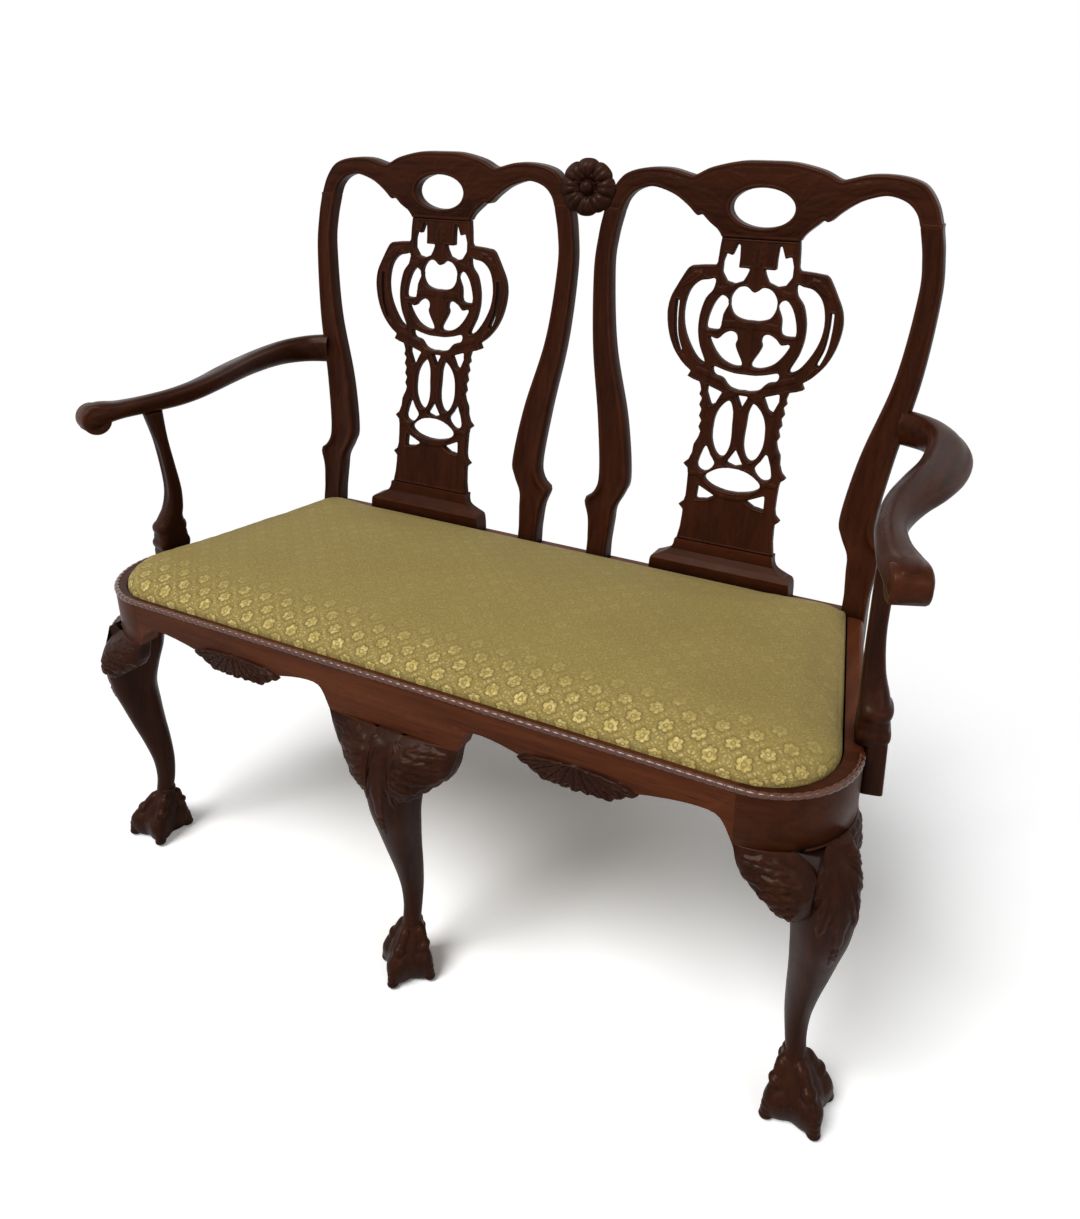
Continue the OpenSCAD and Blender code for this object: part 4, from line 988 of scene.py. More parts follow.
# %% Splat outline and piercings
SPLAT_T, SPLAT_INSET, SLOT_W = 0.011, 0.009, 0.004
NECK = [(0, 905), (52, 905), (53.5, 890), (54.5, 873), (57, 869.5), (74, 868.5), (90.5, 866.5)]
SCROLL = [(90.5, 866.5), (96.5, 861), (108.5, 840), (116.5, 823), (119, 803), (114.5, 778), (104.5, 756),
          (90, 739), (77, 729.5)]
WAIST = [(81, 722), (72, 718.5), (62, 716), (59, 706), (61, 700), (56.5, 695), (59.5, 686), (55.5, 680),
         (58, 671), (54, 665), (57, 656), (53.5, 650), (56, 641), (61, 632), (62, 620), (66, 610),
         (73, 603.5), (66, 598), (64.5, 590), (64, 575), (64, 560), (66, 552), (73, 546), (66, 540),
         (66, 530), (67, 515), (70, 498.5), (0, 498.5)]
LEAF_CUT = [(9.5, 868), (25, 868), (24.8, 880), (25.5, 896), (29.5, 898.5), (35.5, 883), (44, 885.5),
            (47.5, 874), (47.5, 861), (40, 850), (29, 847.5), (17, 852), (12.5, 860)]
EYE = [(43, 832), (53, 822), (59.5, 805), (61.5, 790), (57, 787), (42, 789), (39.5, 808), (33, 824)]
DROP = [(55.5, 777), (44, 775), (36.5, 782), (26, 787), (18, 784), (16, 777), (18, 771), (14.5, 762),
        (6.5, 748), (8.5, 743), (21, 743), (36.5, 750), (48.5, 763)]
CRESCENT = [(55, 852), (64, 850.5), (76, 848), (87, 839), (93.5, 825), (96, 805), (92.5, 784), (83, 764),
            (70, 747), (58, 742.5), (67.5, 763), (72, 780), (73, 795), (71.3, 810), (66, 827), (56.5, 839)]
SLOT = [(105, 821), (105, 800), (102, 775), (94, 754)]
TALL_OVAL = [(18, 696), (29, 686), (35.5, 672), (37.2, 655), (36, 640), (30, 626), (22, 619.5), (15, 623),
             (10, 634), (8.5, 648), (9.5, 665), (10, 680), (13, 691)]
CORNER = [(29, 706), (50.5, 713), (50.5, 703), (43.5, 687), (37, 690)]
LOW_CORNER = [(44, 632), (53, 606), (48, 597.5), (38, 597.5), (28, 609), (35, 620)]
FOOT_CORNER = [(22, 565.5), (48, 577), (49, 557), (34, 559)]
HEART = [(0, 838), (11, 845), (23, 842.5), (31, 832), (31.5, 820), (25, 808), (12, 803), (0, 802.5)]
MOON = [(0, 732.5), (15, 732.8), (30, 735.5), (44, 739), (46, 733.5), (42, 727.5), (31, 724.5), (21, 714.5),
        (8, 711), (0, 711.5)]
LENS = [(0, 606.5), (21, 603.5), (40, 590), (31, 580), (13, 575), (0, 574)]
HIGH_V, LOW_V = [(-8, 704.5), (8, 704.5), (0, 688)], [(0, 632.5), (12, 613), (0, 609.5), (-12, 613)]


def metres(ring):
    return np.array(ring, float) / 1000


def whole_ring(half_ring):
    """A closed ring from its right half, whose ends lie on the middle line."""
    ring = metres(half_ring)
    return ring_through(np.vstack([ring, flipped(ring)[1:-1]]), 3)


slot_line = smooth(metres(SLOT), 5)
slot_side = sides_of(slot_line) * SLOT_W / 2
slot = np.vstack([slot_line + slot_side, (slot_line - slot_side)[::-1]])
one_side = [ring_through(metres(ring), 3) for ring in (EYE, DROP, CRESCENT, TALL_OVAL, LOW_CORNER)]
one_side += [metres(ring) for ring in (LEAF_CUT, CORNER, FOOT_CORNER)] + [slot]
piercings = one_side + [flipped(ring) for ring in one_side]
piercings += [whole_ring(ring) for ring in (HEART, MOON, LENS)] + [metres(HIGH_V), metres(LOW_V)]
half_splat = np.vstack([metres(NECK), smooth(metres(SCROLL), 4)[1:], metres(WAIST)])
splat_line = np.vstack([half_splat, flipped(half_splat)[1:-1]])
print("splat:", len(piercings), "piercings")

# %% [markdown]
# Where straps cross, one passes over the other. A band along the upper one is raised, and the steps at its
# edges do the rest. The plate below stays plain, and small leaves soften the neck and the scrolls.

# %% Carved splats
STRAP_MOULD = ([0, .0009, .0021, .0034, .0046, .0065], [-.0003, .0003, .0008, -.0004, -.0008, -.0002])
OVER_BANDS = [([(0, 796), (20, 797), (40, 795), (62, 789)], .010),
              ([(66, 733), (50, 728), (30, 722), (0, 719)], .008),
              ([(59, 716), (40, 701), (20, 702), (0, 712)], .007),
              ([(40, 690), (20, 708), (0, 716)], .006),
              ([(58, 641), (44, 618), (30, 605), (12, 606)], .007),
              ([(60, 592), (44, 591), (20, 570), (0, 567)], .007),
              ([(31, 843), (48, 838), (60, 846), (76, 856)], .009), ([(0, 800), (0, 745)], .010)]
SPLAT_LEAVES = [((0, .868), (0, .900), .009), ((.072, .862), (.104, .838), .007),
                ((.080, .732), (.112, .772), .006)]
SPLAT_RELIEF, SPLAT_EASE, SPLAT_VOXEL = 0.0016, 0.0016, 0.0012


def splat_relief(x, z):
    near = edge_distance(x, z, [splat_line] + piercings)
    height = np.interp(near, *STRAP_MOULD)
    for path, width in OVER_BANDS:
        line = smooth(metres(path), 4)
        for side in (line, line * [-1, 1]):
            off = edge_distance(x, z, [np.vstack([side, side[::-1][1:-1]])])
            height = np.maximum(height, np.clip((width / 2 - off) / .0014, 0, 1) * .0010 - .0001)
    leaves = spray(x, z, SPLAT_LEAVES) * np.clip((near - .0025) / .003, 0, 1)
    return height + leaves * SPLAT_RELIEF


splat = one_skin(board(splat_line, piercings, SPLAT_T, SPLAT_EASE), SPLAT_VOXEL, 1)
points, faces = carved(splat, SPLAT_T, splat_relief)
pair("pierced_splat_*", (raked(points, SPLAT_INSET) + [half_pitch, 0, 0], faces), mahogany_up, "splat_*")
print("splat:", len(points), "points")

# %% [markdown]
# Ears are the small brackets that carry the curve of each knee out to the rail. They are glued on as
# separate blocks, carved with leaves, and their lower edge is cut in lobes. Each is a grid that runs from
# its outer end to the leg, and the bulge of its face follows the knee that it meets.

# %% Ears beside the knees
EAR_REACH, EAR_DROP, EAR_T = 0.062, 0.076, 0.018
CORNER_EAR_SHARE, SIDE_EAR_START = 0.84, 0.2
EAR_EDGE = [(0, 0), (.04, .1), (.08, .26), (.14, .44), (.24, .58), (.42, .7), (.62, .82), (.85, .95),
            (1.1, 1.02), (1.45, 1.05)]
CENTRE_BULGE = [(-.02, 0), (.3, .10), (.6, .27), (.85, .38), (1.05, .44), (1.3, .45)]
CORNER_BULGE = [(-.02, 0), (.3, .08), (.6, .15), (.9, .19), (1.1, .185), (1.2, .15), (1.3, .04), (1.38, -.08),
                (1.42, -.14)]
SIDE_BULGE = [(-.02, 0), (.3, .03), (.6, .04), (.85, -.04), (1.0, -.14), (1.1, -.22), (1.2, -.28)]
EAR_LEAVES = [((.066, -.012), (.006, -.010), .0085), ((.070, -.022), (.012, -.030), .0095),
              ((.074, -.034), (.026, -.046), .0095), ((.078, -.046), (.044, -.062), .0085)]
EAR_RELIEF, LOBE, LOBES = 0.0022, 0.0022, 6
SHOULDER = ([0, .010, .022, .046, .080], [.12, .45, .80, 1.12, 1.28])


def ear(bulge, reach_share, drop, bend_from=9.0):
    """An ear from its outer end at x = 0 to its leg in +x, its front towards -y, from z = 0 down.
    From bend_from on, the rail above it turns its corner, and the ear's top edge turns with it."""
    edge, face = smooth(EAR_EDGE, 6), smooth(bulge, 6)
    rings = []
    for s in np.linspace(0.004, reach_share, 80):
        low = np.interp(s, edge[:, 0], edge[:, 1]) * drop
        low += LOBE * (abs(math.sin(LOBES * math.pi * s)) - .5) * min(1, 6 * s) * (s < 1.1)
        out = np.interp(s, face[:, 0], face[:, 1]) * EAR_REACH
        turned_away = CORNER_R - math.sqrt(CORNER_R ** 2 - max(0, s * EAR_REACH - bend_from) ** 2)
        down = np.linspace(0, 1, 48)
        x = np.full(len(down), s * EAR_REACH)
        carving = spray(x, -low * down, EAR_LEAVES, mirrored=False)
        rim = np.exp(-((low * (1 - down) - .0025) / .0012) ** 2) * .0008
        swell = 0.004 * np.sin(math.pi * np.minimum(down * 1.05, 1)) * min(1, 4 * s)
        curl = 0.006 * np.maximum(0, down - .85) / .15
        share = np.interp(low * down, *SHOULDER)
        y = turned_away * np.clip(1 - share, 0, 1) - out * share - swell
        y += curl - rim - carving * EAR_RELIEF * min(1, 5 * s)
        back = [(x[0], EAR_T - 0.003, -low), (x[0], EAR_T, -low * .93), (x[0], EAR_T, 0)]
        rings.append(list(zip(x, y, -low * down)) + back)
    return loft(rings)


side_a = math.radians(13.41)
side_n = np.array([math.cos(side_a), math.sin(side_a)])
side_dir = np.array([-side_n[1], side_n[0]])
side_start = np.array([corner_x, corner_y]) + CORNER_R * side_n
leg_top_half = 0.086 * rail_low_z
points, faces = ear(CENTRE_BULGE, 1.25, EAR_DROP)
pair("ear_centre_*", (points * [-1, 1, 1] + [leg_top_half + EAR_REACH, rail_face_y, rail_low_z], faces),
     mahogany_carved, "bracket_centre_*")
points, faces = ear(CORNER_BULGE, 1.38, EAR_DROP * CORNER_EAR_SHARE, 0.0)
pair("ear_front_*", (points + [corner_x, rail_face_y, rail_low_z], faces), mahogany_carved, "bracket_*_front")
points, faces = ear(SIDE_BULGE, 1.18, EAR_DROP * CORNER_EAR_SHARE, SIDE_EAR_START * EAR_REACH)
forward = np.array([[-side_dir[0], -side_dir[1], 0], [-side_n[0], -side_n[1], 0], [0, 0, 1]])
spot = side_start + side_dir * SIDE_EAR_START * EAR_REACH
pair("ear_side_*", (points @ forward + [spot[0], spot[1] + rail_face_y, rail_low_z], faces),
     mahogany_carved, "bracket_*_side")
print("ears: six, each of", len(points), "points")

# %% [markdown]
# In the middle of each half of the front rail hangs a low pendant. The joiner's rail has its outline. The
# carver laid a thin carved leaf cluster over its face, and that is a piece of its own here: a shield whose
# lower edge is cut in lobes and whose front is a fan of leaves.

# %% Carved pendants
PENDANT_HALF = 0.074
PENDANT_EDGE = ([0, .043, .052, .066, .074], [.0010, .0020, .0085, .0155, .0185])
PENDANT_HEAD = ([0, .030, .060, .068, .074], [.034, .033, .030, .026, .0190])
PENDANT_LEAVES = [((0, .033), (0, -.004), .0125), ((.004, .034), (.021, -.002), .0110),
                  ((.008, .034), (.040, .000), .0100), ((.012, .034), (.056, .010), .0090),
                  ((.016, .033), (.073, .019), .0075), ((.004, .034), (.052, .027), .0050)]
PENDANT_RELIEF, PENDANT_PLATE, PENDANT_LOBES = 0.0034, 0.0010, 5.5


def pendant():
    across = np.linspace(-1, 1, 121)
    rows = np.linspace(0, 1, 56)
    fronts, backs = [], []
    for u in across:
        out = abs(u) * PENDANT_HALF
        low = np.interp(out, *PENDANT_EDGE) + .0028 * (1 - abs(math.cos(PENDANT_LOBES * math.pi * u))) - .0014
        high = max(low + .0004, np.interp(out, *PENDANT_HEAD))
        z = low + (high - low) * rows
        x = np.full(len(z), u * PENDANT_HALF)
        rim = np.minimum(rows, 1 - rows) * (high - low)
        ease = np.clip(rim / .0015, 0, 1) * np.clip((1 - abs(u)) / .05, 0, 1)
        y = -(PENDANT_PLATE + spray(x, z, PENDANT_LEAVES) * PENDANT_RELIEF) * ease
        fronts.append(np.stack([x, y, z], axis=1))
        backs.append(np.stack([x, np.full(len(z), .003), z], axis=1)[::-1])
    return loft([np.vstack(both) for both in zip(fronts, backs)])


points, faces = pendant()
pair("pendant_*", (points + [half_pitch, rail_face_y, rail_low_z], faces), mahogany_carved)
print("pendants:", len(points), "points each")

# %% [markdown]
# Along the upper edge of the front rail, round both corners and back to the arms, runs a small row of long
# beads. It catches the light as a dotted line. An array of single beads would need joining. Instead one
# bead line is swept along the rail's plan, and its thickness swells and pinches once for each bead.

# %% Plan of the seat
FRONT_LIP, SIDE_LIP, SEAT_GAP = 0.011, 0.021, 0.002


def plan(front_in, side_in, back_in, counts=(22, 18, 20, 24)):
    """The seat's plan, moved in from its front, sides and back, as a ring from the middle of the front."""
    r = CORNER_R - (front_in + side_in) / 2
    cy = front_in + r
    cx = corner_x + (CORNER_R - side_in - r - side_n[1] * (front_in + r - CORNER_R)) / side_n[0]
    turn = np.linspace(-math.pi / 2, side_a, counts[1] + 1)
    arc = np.stack([cx + r * np.cos(turn), cy + r * np.sin(turn)], axis=1)
    end = arc[-1] + side_dir * (SEAT_DEPTH - back_in - arc[-1][1]) / side_dir[1]
    front = np.linspace((0, front_in), arc[0], counts[0] + 1)[:-1]
    side = np.linspace(arc[-1], end, counts[2] + 1)[1:]
    back = np.linspace(end, (0, SEAT_DEPTH - back_in), counts[3] + 1)[1:]
    half = np.vstack([front, arc, side, back])
    ring = np.vstack([half, flipped(half)[1:-1]])
    ring[:, 1] += rail_face_y
    return ring


def seat_ring(inset):
    return plan(FRONT_LIP + SEAT_GAP + inset, SIDE_LIP + SEAT_GAP + inset, SEAT_GAP + inset)


print("plan:", len(seat_ring(0)), "places round the seat")

# %% Bead row
BEAD_PITCH, BEAD_R, BEAD_IN, BEAD_STEPS = 0.0110, 0.0040, 0.0024, 12
SUPPORT_Y, SUPPORT_CLEAR = 0.155, 0.032
outer = plan(BEAD_IN, BEAD_IN, BEAD_IN)
right_run = outer[:len(outer) // 2]
right_run = right_run[right_run[:, 1] < rail_face_y + SUPPORT_Y - SUPPORT_CLEAR]
run = np.vstack([flipped(right_run[1:]), right_run])
length = length_of(run)
beads = round(length / BEAD_PITCH)
run = evenly(run, beads * BEAD_STEPS + 1)
rings = []
for k, (spot, side) in enumerate(zip(run, sides_of(run))):
    r = BEAD_R * (.82 + .18 * abs(math.sin(math.pi * k / BEAD_STEPS)) ** .7)
    out, up = circle(14).T * r
    rings.append(at_height(spot - np.outer(out, side), rail_top_z - BEAD_IN + up))
piece("bead_row", loft(rings), mahogany_bead)
print("bead row:", beads, "beads over", round(length, 3), "m")

# %% [markdown]
# An arm is a broad S in plan that dips from the back post to the front, and its end rolls under into a
# volute. The same ring loft serves, with the width, height and slope of each section from its own row. The
# volute is a small turned roll let into the end, with a spiral step on both faces.

# %% Arms
ARM_ROWS = [(0, 0, .5, 1, .19, 0), (.012, .165, .54, 1, .19, 0), (.04, .4, .64, .995, .19, .08),
            (.103, .61, .76, .97, .19, .18), (.19, .72, .9, .92, .18, .3), (.31, .73, .92, .83, .15, .36),
            (.43, .654, .90, .74, .12, .34), (.53, .565, .78, .65, .08, .26), (.61, .525, .66, .58, .03, .18),
            (.68, .528, .56, .53, 0, .12), (.74, .56, .54, .50, 0, .1), (.82, .66, .6, .47, 0, .1),
            (.887, .78, .74, .455, -.02, .1), (.94, .888, .78, .49, -.12, .05),
            (.983, .963, .70, .42, -.22, .03), (1.002, 1, .5, .16, -.12, 0)]
ARM_REAR_Z, ARM_FRONT_Z, ARM_W, ARM_HOUSING = 0.714, 0.660, 0.060, 0.003
ARM_AT_SUPPORT = (.779, .605)
VOLUTE = [(1.04, .06), (1.05, .20), (1.02, .30), (.93, .36), (.90, .46), (.95, .56), (1.00, .70), (.99, .84),
          (.93, .95), (.80, 1.0)]
VOLUTE_R, VOLUTE_HALF_W, VOLUTE_ROW, VOLUTE_DROP, ARM_POWER = 0.0198, 0.0190, 0.960, -.30, 2.35
arm_rise = ARM_REAR_Z - ARM_FRONT_Z
arm_bottom = ARM_FRONT_Z + .19 * arm_rise
arm_mid = (arm_bottom + ARM_REAR_Z) / 2
arm_from = np.array([half_pitch + across_at(OUTER_EDGE, arm_bottom) - ARM_HOUSING,
                     float(back_y(arm_mid)) - rail_face_y + float(back_t(arm_mid)) / 2])
support_at = side_start + side_dir * (SUPPORT_Y - side_start[1]) / side_dir[1]
arm_len = (arm_from[1] - support_at[1]) / ARM_AT_SUPPORT[0]
arm_out = (support_at[0] - arm_from[0]) / ARM_AT_SUPPORT[1]


def arm_shape():
    rows = smooth(ARM_ROWS, 9)
    path = arm_from + rows[:, 1::-1] * [arm_out, -arm_len]
    beside = sides_of(path)
    beside[0] = (0, 1)
    path[:, 1] += rail_face_y
    rings = []
    for spot, side, row in zip(path, beside, rows):
        out = -1 if side[0] < 0 else 1
        under, high = ARM_FRONT_Z + row[4] * arm_rise, (row[3] - row[4]) * arm_rise
        u, v = squared(circle(44), 2 / ARM_POWER).T
        crease = np.where(v > 0, .05 * np.exp(-((np.abs(u) - .72) / .1) ** 2), 0)
        lift = (.5 + .5 * v) * high * (1 - row[5] * (.5 + out * u / 2)) - crease * high
        rings.append(at_height(spot + np.outer(u, side) * row[2] * ARM_W / 2, under + lift))
    at = int(np.argmin(np.abs(rows[:, 0] - VOLUTE_ROW)))
    axis = np.array([*beside[at], 0])
    hub = np.array([*path[at], ARM_FRONT_Z + VOLUTE_DROP * arm_rise + VOLUTE_R])
    face = np.array([[-axis[1], axis[0], 0], [0, 0, 1]])
    spiral = .10 * (np.arange(40) / 40 - .5)
    roll = []
    for w, r in VOLUTE + [(-w, r) for w, r in VOLUTE[::-1]]:
        reach = VOLUTE_R * r * (1 + spiral * (r < .9))
        roll.append(hub + axis * w * VOLUTE_HALF_W + circle(40) * reach[:, None] @ face)
    return joined([loft(rings), loft(roll)])


points, faces = arm_shape()
pair("open_arm_*", (points, faces), mahogany_along, "arm_*")
print("arm:", round(arm_len * 1000), "mm long and", round(arm_out * 1000), "mm out")

# %% [markdown]
# The arm stands on a support that is housed on the outside of the side rail. It is a plain block below, is
# bound by two small collars above the rail, and sweeps up to the arm in a long curve.

# %% Arm supports
SUPPORT_SIDE = [(0, -.078, .076), (.21, -.08, .078), (.33, -.08, .08), (.37, -.072, .076),
                (.41, -.048, .07), (.46, -.024, .078), (.56, -.004, .08), (.7, -.01, .062),
                (.85, -.026, .044), (1, -.058, .04)]
SUPPORT_OUTER = [(.083, .36), (.07, .41), (.046, .5), (.03, .66), (.032, .85), (.042, 1)]
FOOT_DROP, FOOT_T, INNER_SHARE, SQUARE_BELOW = 0.060, 0.025, 0.042, 0.44
COLLARS = [(.4825, .0070, .0024), (.4565, .0060, .0021)]
SUPPORT_HOLLOW = 0.0022


def support_shape():
    foot_z = rail_top_z - FOOT_DROP
    high = ARM_FRONT_Z - foot_z
    rows, outer_line = smooth(SUPPORT_SIDE, 8), smooth(SUPPORT_OUTER, 8) * high
    rings = []
    for z in np.linspace(0, high, 130):
        share, level = z / high, foot_z + z
        front = np.interp(share, rows[:, 0], rows[:, 1]) * high
        back = np.interp(share, rows[:, 0], rows[:, 2]) * high
        if level <= rail_top_z:
            far, near = FOOT_T * (1 - .07 * z / FOOT_DROP), 0.0
        else:
            far, near = np.interp(z, outer_line[:, 1], outer_line[:, 0]), -INNER_SHARE * high
            if z < outer_line[0, 1]:
                far = np.interp(z, [FOOT_DROP, outer_line[0, 1]], [FOOT_T * .93, outer_line[0, 0]])
        proud = sum(h * math.sqrt(max(0, 1 - ((level - c) / w) ** 2)) for c, w, h in COLLARS)
        power = 8 if level < SQUARE_BELOW else max(2.8, 8 - (level - SQUARE_BELOW) * 140)
        hollow = SUPPORT_HOLLOW * np.clip((level - .50) / .03, 0, 1) * np.clip((.63 - level) / .03, 0, 1)
        u, v = squared(circle(56), 2 / power).T
        x = (far + near) / 2 + u * ((far - near) / 2 + proud * (u > 0))
        y = (front + back) / 2 + v * ((back - front) / 2 + proud)
        y += hollow * np.maximum(0, 1 - (u / .7) ** 2) * (v < -.3)
        spot = support_at + np.outer(x, side_n) + np.outer(y, side_dir) + [0, rail_face_y]
        rings.append(at_height(spot, level))
    return loft(rings)


support = support_shape()
pair("support_*", support, mahogany_carved, "arm_support_*")
print("support:", round((ARM_FRONT_Z - rail_top_z + FOOT_DROP) * 1000), "mm tall")

# %% [markdown]
# One carved rosette hides the seam between the two crests. It is a ring of petals round a button, over a
# plug that fills the gap behind. Rings of points at shrinking reach give it, and each point's height comes
# from the petal it lies on.

# %% Rosette
ROSE_W, ROSE_H, ROSE_Z, ROSE_PETALS, ROSE_LIFT, ROSE_DEEP = 0.084, 0.076, 0.960, 8, 0.0105, 0.020


def rosette():
    rings = []
    for share in np.concatenate([np.linspace(1, .98, 3), np.linspace(.96, .02, 48)]):
        ring = []
        for a in np.linspace(0, 2 * math.pi, 160, endpoint=False):
            lobe = abs(math.cos(ROSE_PETALS / 2 * a))
            rim = 1 - .07 * (1 - lobe) ** 2 * min(1, share * 1.2)
            arch = math.sin(math.pi * min(1, (share - .26) / .74)) if share > .26 else 0
            vein = math.exp(-((1 - lobe) / .08) ** 2)
            inner = .55 * math.sin(math.pi * (share - .24) / .34) * (1 - lobe) if .24 < share < .58 else 0
            button = math.sqrt(max(0, 1 - (share / .26) ** 2))
            lift = max(arch * (.32 + .5 * lobe ** .5 - vein * .14), inner, button)
            ring.append((ROSE_W / 2 * share * rim * math.cos(a), -lift * ROSE_LIFT,
                         ROSE_H / 2 * share * rim * math.sin(a)))
        rings.append(ring)
    back = [[(x * share, y, z * share) for x, _, z in rings[0]]
            for y, share in ((ROSE_DEEP, .60), (ROSE_DEEP - .002, .72), (.010, .80), (.004, .97))]
    return loft(back + rings)


points, faces = rosette()
tilt = math.atan((float(back_y(ROSE_Z + .03)) - float(back_y(ROSE_Z - .03))) / .06)
c, s = math.cos(tilt), math.sin(tilt)
points = points @ np.array([[1, 0, 0], [0, c, -s], [0, s, c]]) + [0, float(back_y(ROSE_Z)) - 0.001, ROSE_Z]
piece("carved_rosette", (points, faces), mahogany_carved, ["rosette"])
print("rosette leans", round(math.degrees(tilt), 1), "degrees")

# %% [markdown]
# The drop-in seat is built from below: webbing strips woven across the frame, hessian stretched over them,
# the stuffing, and the cover. The webbing is laid as real strips that pass over and under each other by
# half their thickness.

# %% Webbing
WEB_W, WEB_T, FRAME_T, COVER_T, LEDGE_DROP = 0.050, 0.0010, 0.019, 0.0012, 0.022
web_z = rail_top_z - LEDGE_DROP + COVER_T + FRAME_T
web_low, web_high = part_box("seat_webbing")
deep_x = np.linspace(web_low.x + WEB_W * .75, web_high.x - WEB_W * .75, 7)
middle_y = (web_low.y + web_high.y) / 2
wide_y = [middle_y + step * WEB_W * 1.7 for step in (-1, 0, 1)]


def strip(start, end, centre, crossings, first, lengthwise):
    """A web along x or y that goes over and under the crossings."""
    rings = []
    for t in np.linspace(start, end, 90):
        near = min(range(len(crossings)), key=lambda k: abs(crossings[k] - t))
        close = max(0, 1 - abs(crossings[near] - t) / (WEB_W * .9)) ** .5
        lift = WEB_T * (.5 + .48 * close * (1 if (near + first) % 2 else -1))
        low, high = web_z + lift, web_z + lift + WEB_T
        ring = [(u * WEB_W / 2, z) for u, z in ((-1, low), (1, low), (1, high), (-1, high))]
        rings.append([(t, centre + u, z) if lengthwise else (centre + u, t, z) for u, z in ring])
    return loft(rings)


strips = [strip(web_low.y, web_high.y, x, wide_y, k, False) for k, x in enumerate(deep_x)]
strips += [strip(web_low.x, web_high.x, y, list(deep_x), k + 1, True) for k, y in enumerate(wide_y)]
piece("webbing_strips", joined(strips), webbing, ["seat_webbing"], "drop_in_seat")
print("webbing:", len(strips), "strips")

# %% [markdown]
# Hessian closes the gaps between the webs. It is one flat sheet, cut to the frame's outline and tacked
# tight, so it is a few rings of points drawn in about the middle, as thin as the cloth.

# %% Hessian
HESSIAN_T, HESSIAN_IN = 0.0008, 0.0039
hessian_z = web_z + 2 * WEB_T
rim = seat_ring(HESSIAN_IN)
middle = np.array([0, (rim[:, 1].min() + rim[:, 1].max()) / 2])
shares = np.linspace(.02, 1, 14)
rings = [at_height(middle + (rim - middle) * share, hessian_z) for share in shares]
rings += [at_height(middle + (rim - middle) * share, hessian_z + HESSIAN_T) for share in shares[::-1]]
sheet_piece = piece("hessian_sheet", loft(rings), hessian, ["seat_hessian"], "drop_in_seat")

# %% [markdown]
# The crown of the seat is stuffed tight and rolls over at its edges. The stuffing's solid gives its form.
# A voxel skin makes the faces even, and a short cloth simulation with a little pressure rounds it as
# stuffing does. No point may travel more than a few millimetres, so the seat still fits its rails. What is
# left of the simulation is plain mesh.

# %% Cushion
VOXEL, PRESSURE, FRAMES, TRAVEL = 0.006, 4, 20, 0.006
ROLL_RISE, ROLL_OUT = 0.032, 0.009
ROLL_PROFILE = ([0, .004, .010, .016, .024, .032], [.004, .0012, .0010, .0030, .0085, .0180])


def as_mesh(thing):
    """The mesh that a thing's modifiers make, without the modifiers."""
    made = bpy.data.meshes.new_from_object(evaluated(thing))
    thing.modifiers.clear()
    return made


def puffed(thing):
    """Where the points lie after a cloth run with a little pressure inside."""
    cloth = thing.modifiers.new("cloth", "CLOTH").settings
    cloth.use_pressure, cloth.uniform_pressure_force, cloth.effector_weights.gravity = True, PRESSURE, 0
    for step in range(1, FRAMES + 1):
        scene.frame_set(step)
    after = as_list(evaluated(thing).to_mesh())[0]
    thing.modifiers.clear()
    scene.frame_set(1)
    return after


def roll_out(points):
    """The lower edge of the crown moved outward, so that it hangs over the cover's margin as a roll."""
    rim = evenly(np.vstack([seat_ring(0), seat_ring(0)[:1]]), 900)
    rise = points[:, 2] - rail_top_z
    low = np.flatnonzero(rise < ROLL_RISE)
    way = rim[None, :, :] - points[low, None, :2]
    far = np.linalg.norm(way, axis=2)
    rows, nearest = np.arange(len(low)), np.argmin(far, axis=1)
    distance = far[rows, nearest]
    unit = way[rows, nearest] / np.maximum(distance, 1e-6)[:, None]
    push = np.clip(distance - np.interp(rise[low], *ROLL_PROFILE), 0, ROLL_OUT)
    push *= np.clip((.034 - distance) / .012, 0, 1)
    points = points.copy()
    points[low, :2] += unit * push[:, None]
    return points


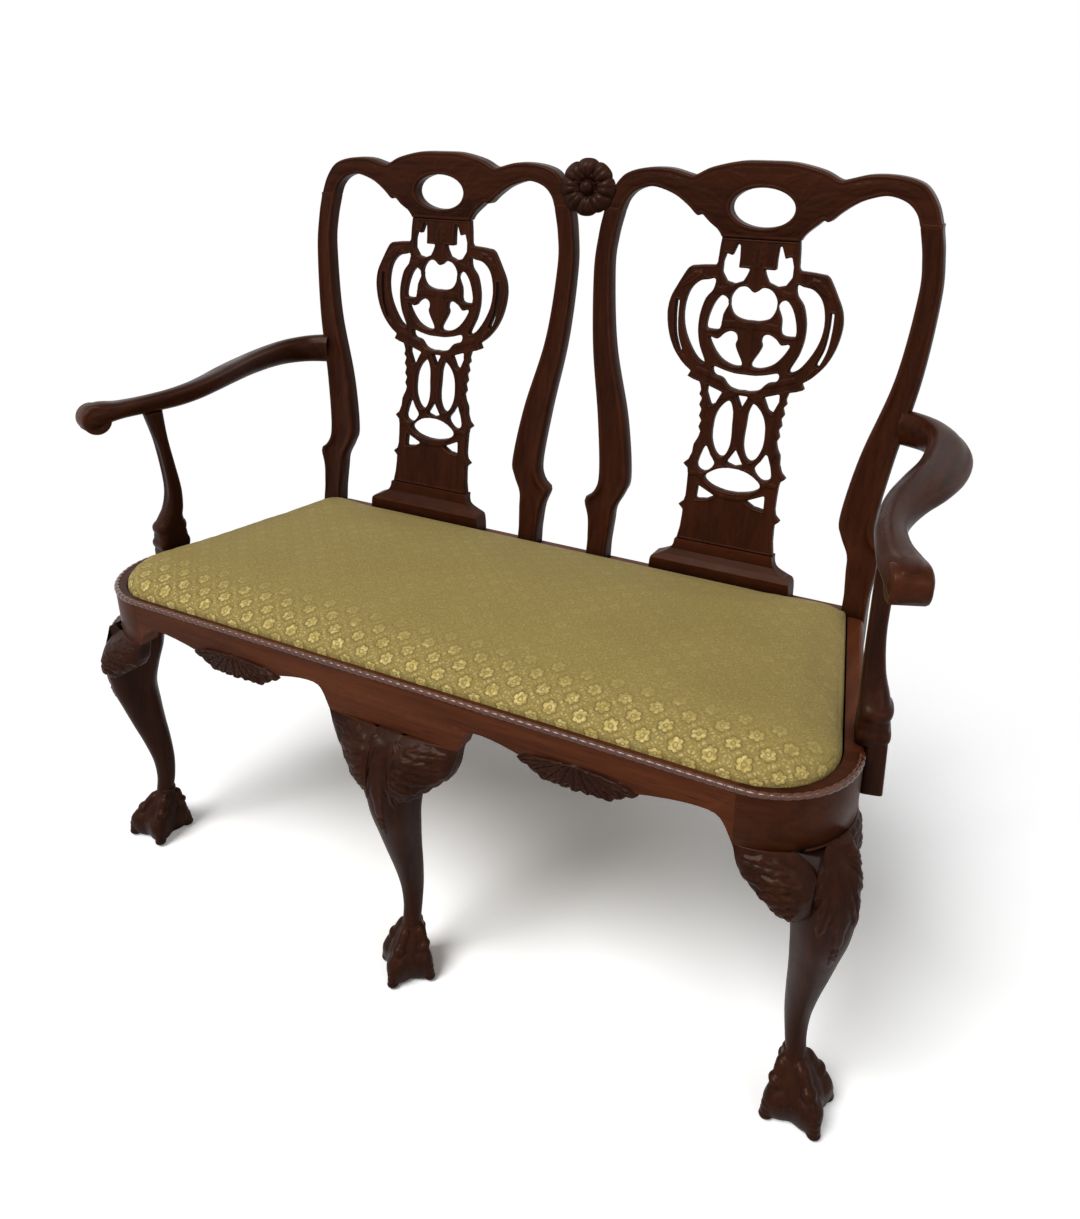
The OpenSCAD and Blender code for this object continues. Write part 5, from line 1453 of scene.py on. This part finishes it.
cushion = new_thing("seat_cushion", nodes["seat_stuffing"].data.copy())
cushion.modifiers.new("weld", "WELD").merge_threshold = WELD_REACH
add_skin(cushion, VOXEL)
cushion.data = as_mesh(cushion)
before = as_list(cushion.data)[0]
travel = np.zeros_like(before)
travel = puffed(cushion) - before
far = np.linalg.norm(travel, axis=1)
travel *= np.minimum(1, TRAVEL / np.maximum(far, 1e-9))[:, None]
cushion.data.vertices.foreach_set("co", roll_out(before + travel).ravel())
soft = cushion.modifiers.new("soft", "SUBSURF")
soft.levels = soft.render_levels = 1
cushion.data = as_mesh(cushion)
print("cushion: moved", round(float(far.max()) * 1000, 1), "mm at most before the cap")

# %% [markdown]
# Below the roll, the cover goes straight down the edge of the frame and is turned under it, where tacks
# hold it. That margin is a sheet of its own here, so that it stays crisp where the cushion is soft.

# %% Cover's margin
MARGIN, TUCK, SHEET_T = 0.034, 0.007, 0.0009
MARGIN_ROWS = [(TUCK, .0110), (.0030, .0085), (.0008, .0045), (0, 0), (0, -.0205), (.0010, -.0218),
               (MARGIN * .5, -.0219), (MARGIN, -.0219)]


def margin_shape():
    rows = [(inset, rail_top_z + rise) for inset, rise in MARGIN_ROWS]
    inner = [(inset + SHEET_T * (k < 5), z + SHEET_T * (k >= 5)) for k, (inset, z) in enumerate(rows)]
    points, faces = loft([at_height(seat_ring(inset), z) for inset, z in rows + inner[::-1]], caps=False)
    n = len(seat_ring(0))
    last = len(points) - n
    return points, faces + [(k, last + k, last + (k + 1) % n, (k + 1) % n) for k in range(n)]


margin = piece("cover_margin", margin_shape(), damask, (), "drop_in_seat")
edge_length = length_of(np.vstack([seat_ring(0), seat_ring(0)[:1]]))

# %% [markdown]
# The damask reads its pattern from a place stored on every point. On the flat that is simply x and y. Where
# the cloth runs down an edge, its way down is added outward, as if the edge were laid flat again.

# %% The cloth's own places
def lay_flat(mesh, top_z):
    points = as_list(mesh)[0]
    normals = np.zeros(len(points) * 3)
    mesh.vertices.foreach_get("normal", normals)
    outward = normals.reshape(-1, 3)[:, :2]
    drop = np.maximum(top_z - points[:, 2], 0)[:, None]
    flat = np.column_stack([points[:, :2] + outward * drop, np.zeros(len(points))])
    store = mesh.attributes.new(CLOTH_PLACE, "FLOAT_VECTOR", "POINT")
    store.data.foreach_set("vector", flat.ravel())
    return float(drop.max())


ROLL_Z = rail_top_z + 0.012
print("cloth runs down", [round(lay_flat(m, ROLL_Z) * 1000, 1) for m in (cushion.data, margin.data)], "mm")
cushion.data.materials.clear()
cushion.data.materials.append(damask)
cushion.data.shade_smooth()
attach(cushion, "drop_in_seat")
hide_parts("seat_cover", "seat_stuffing")
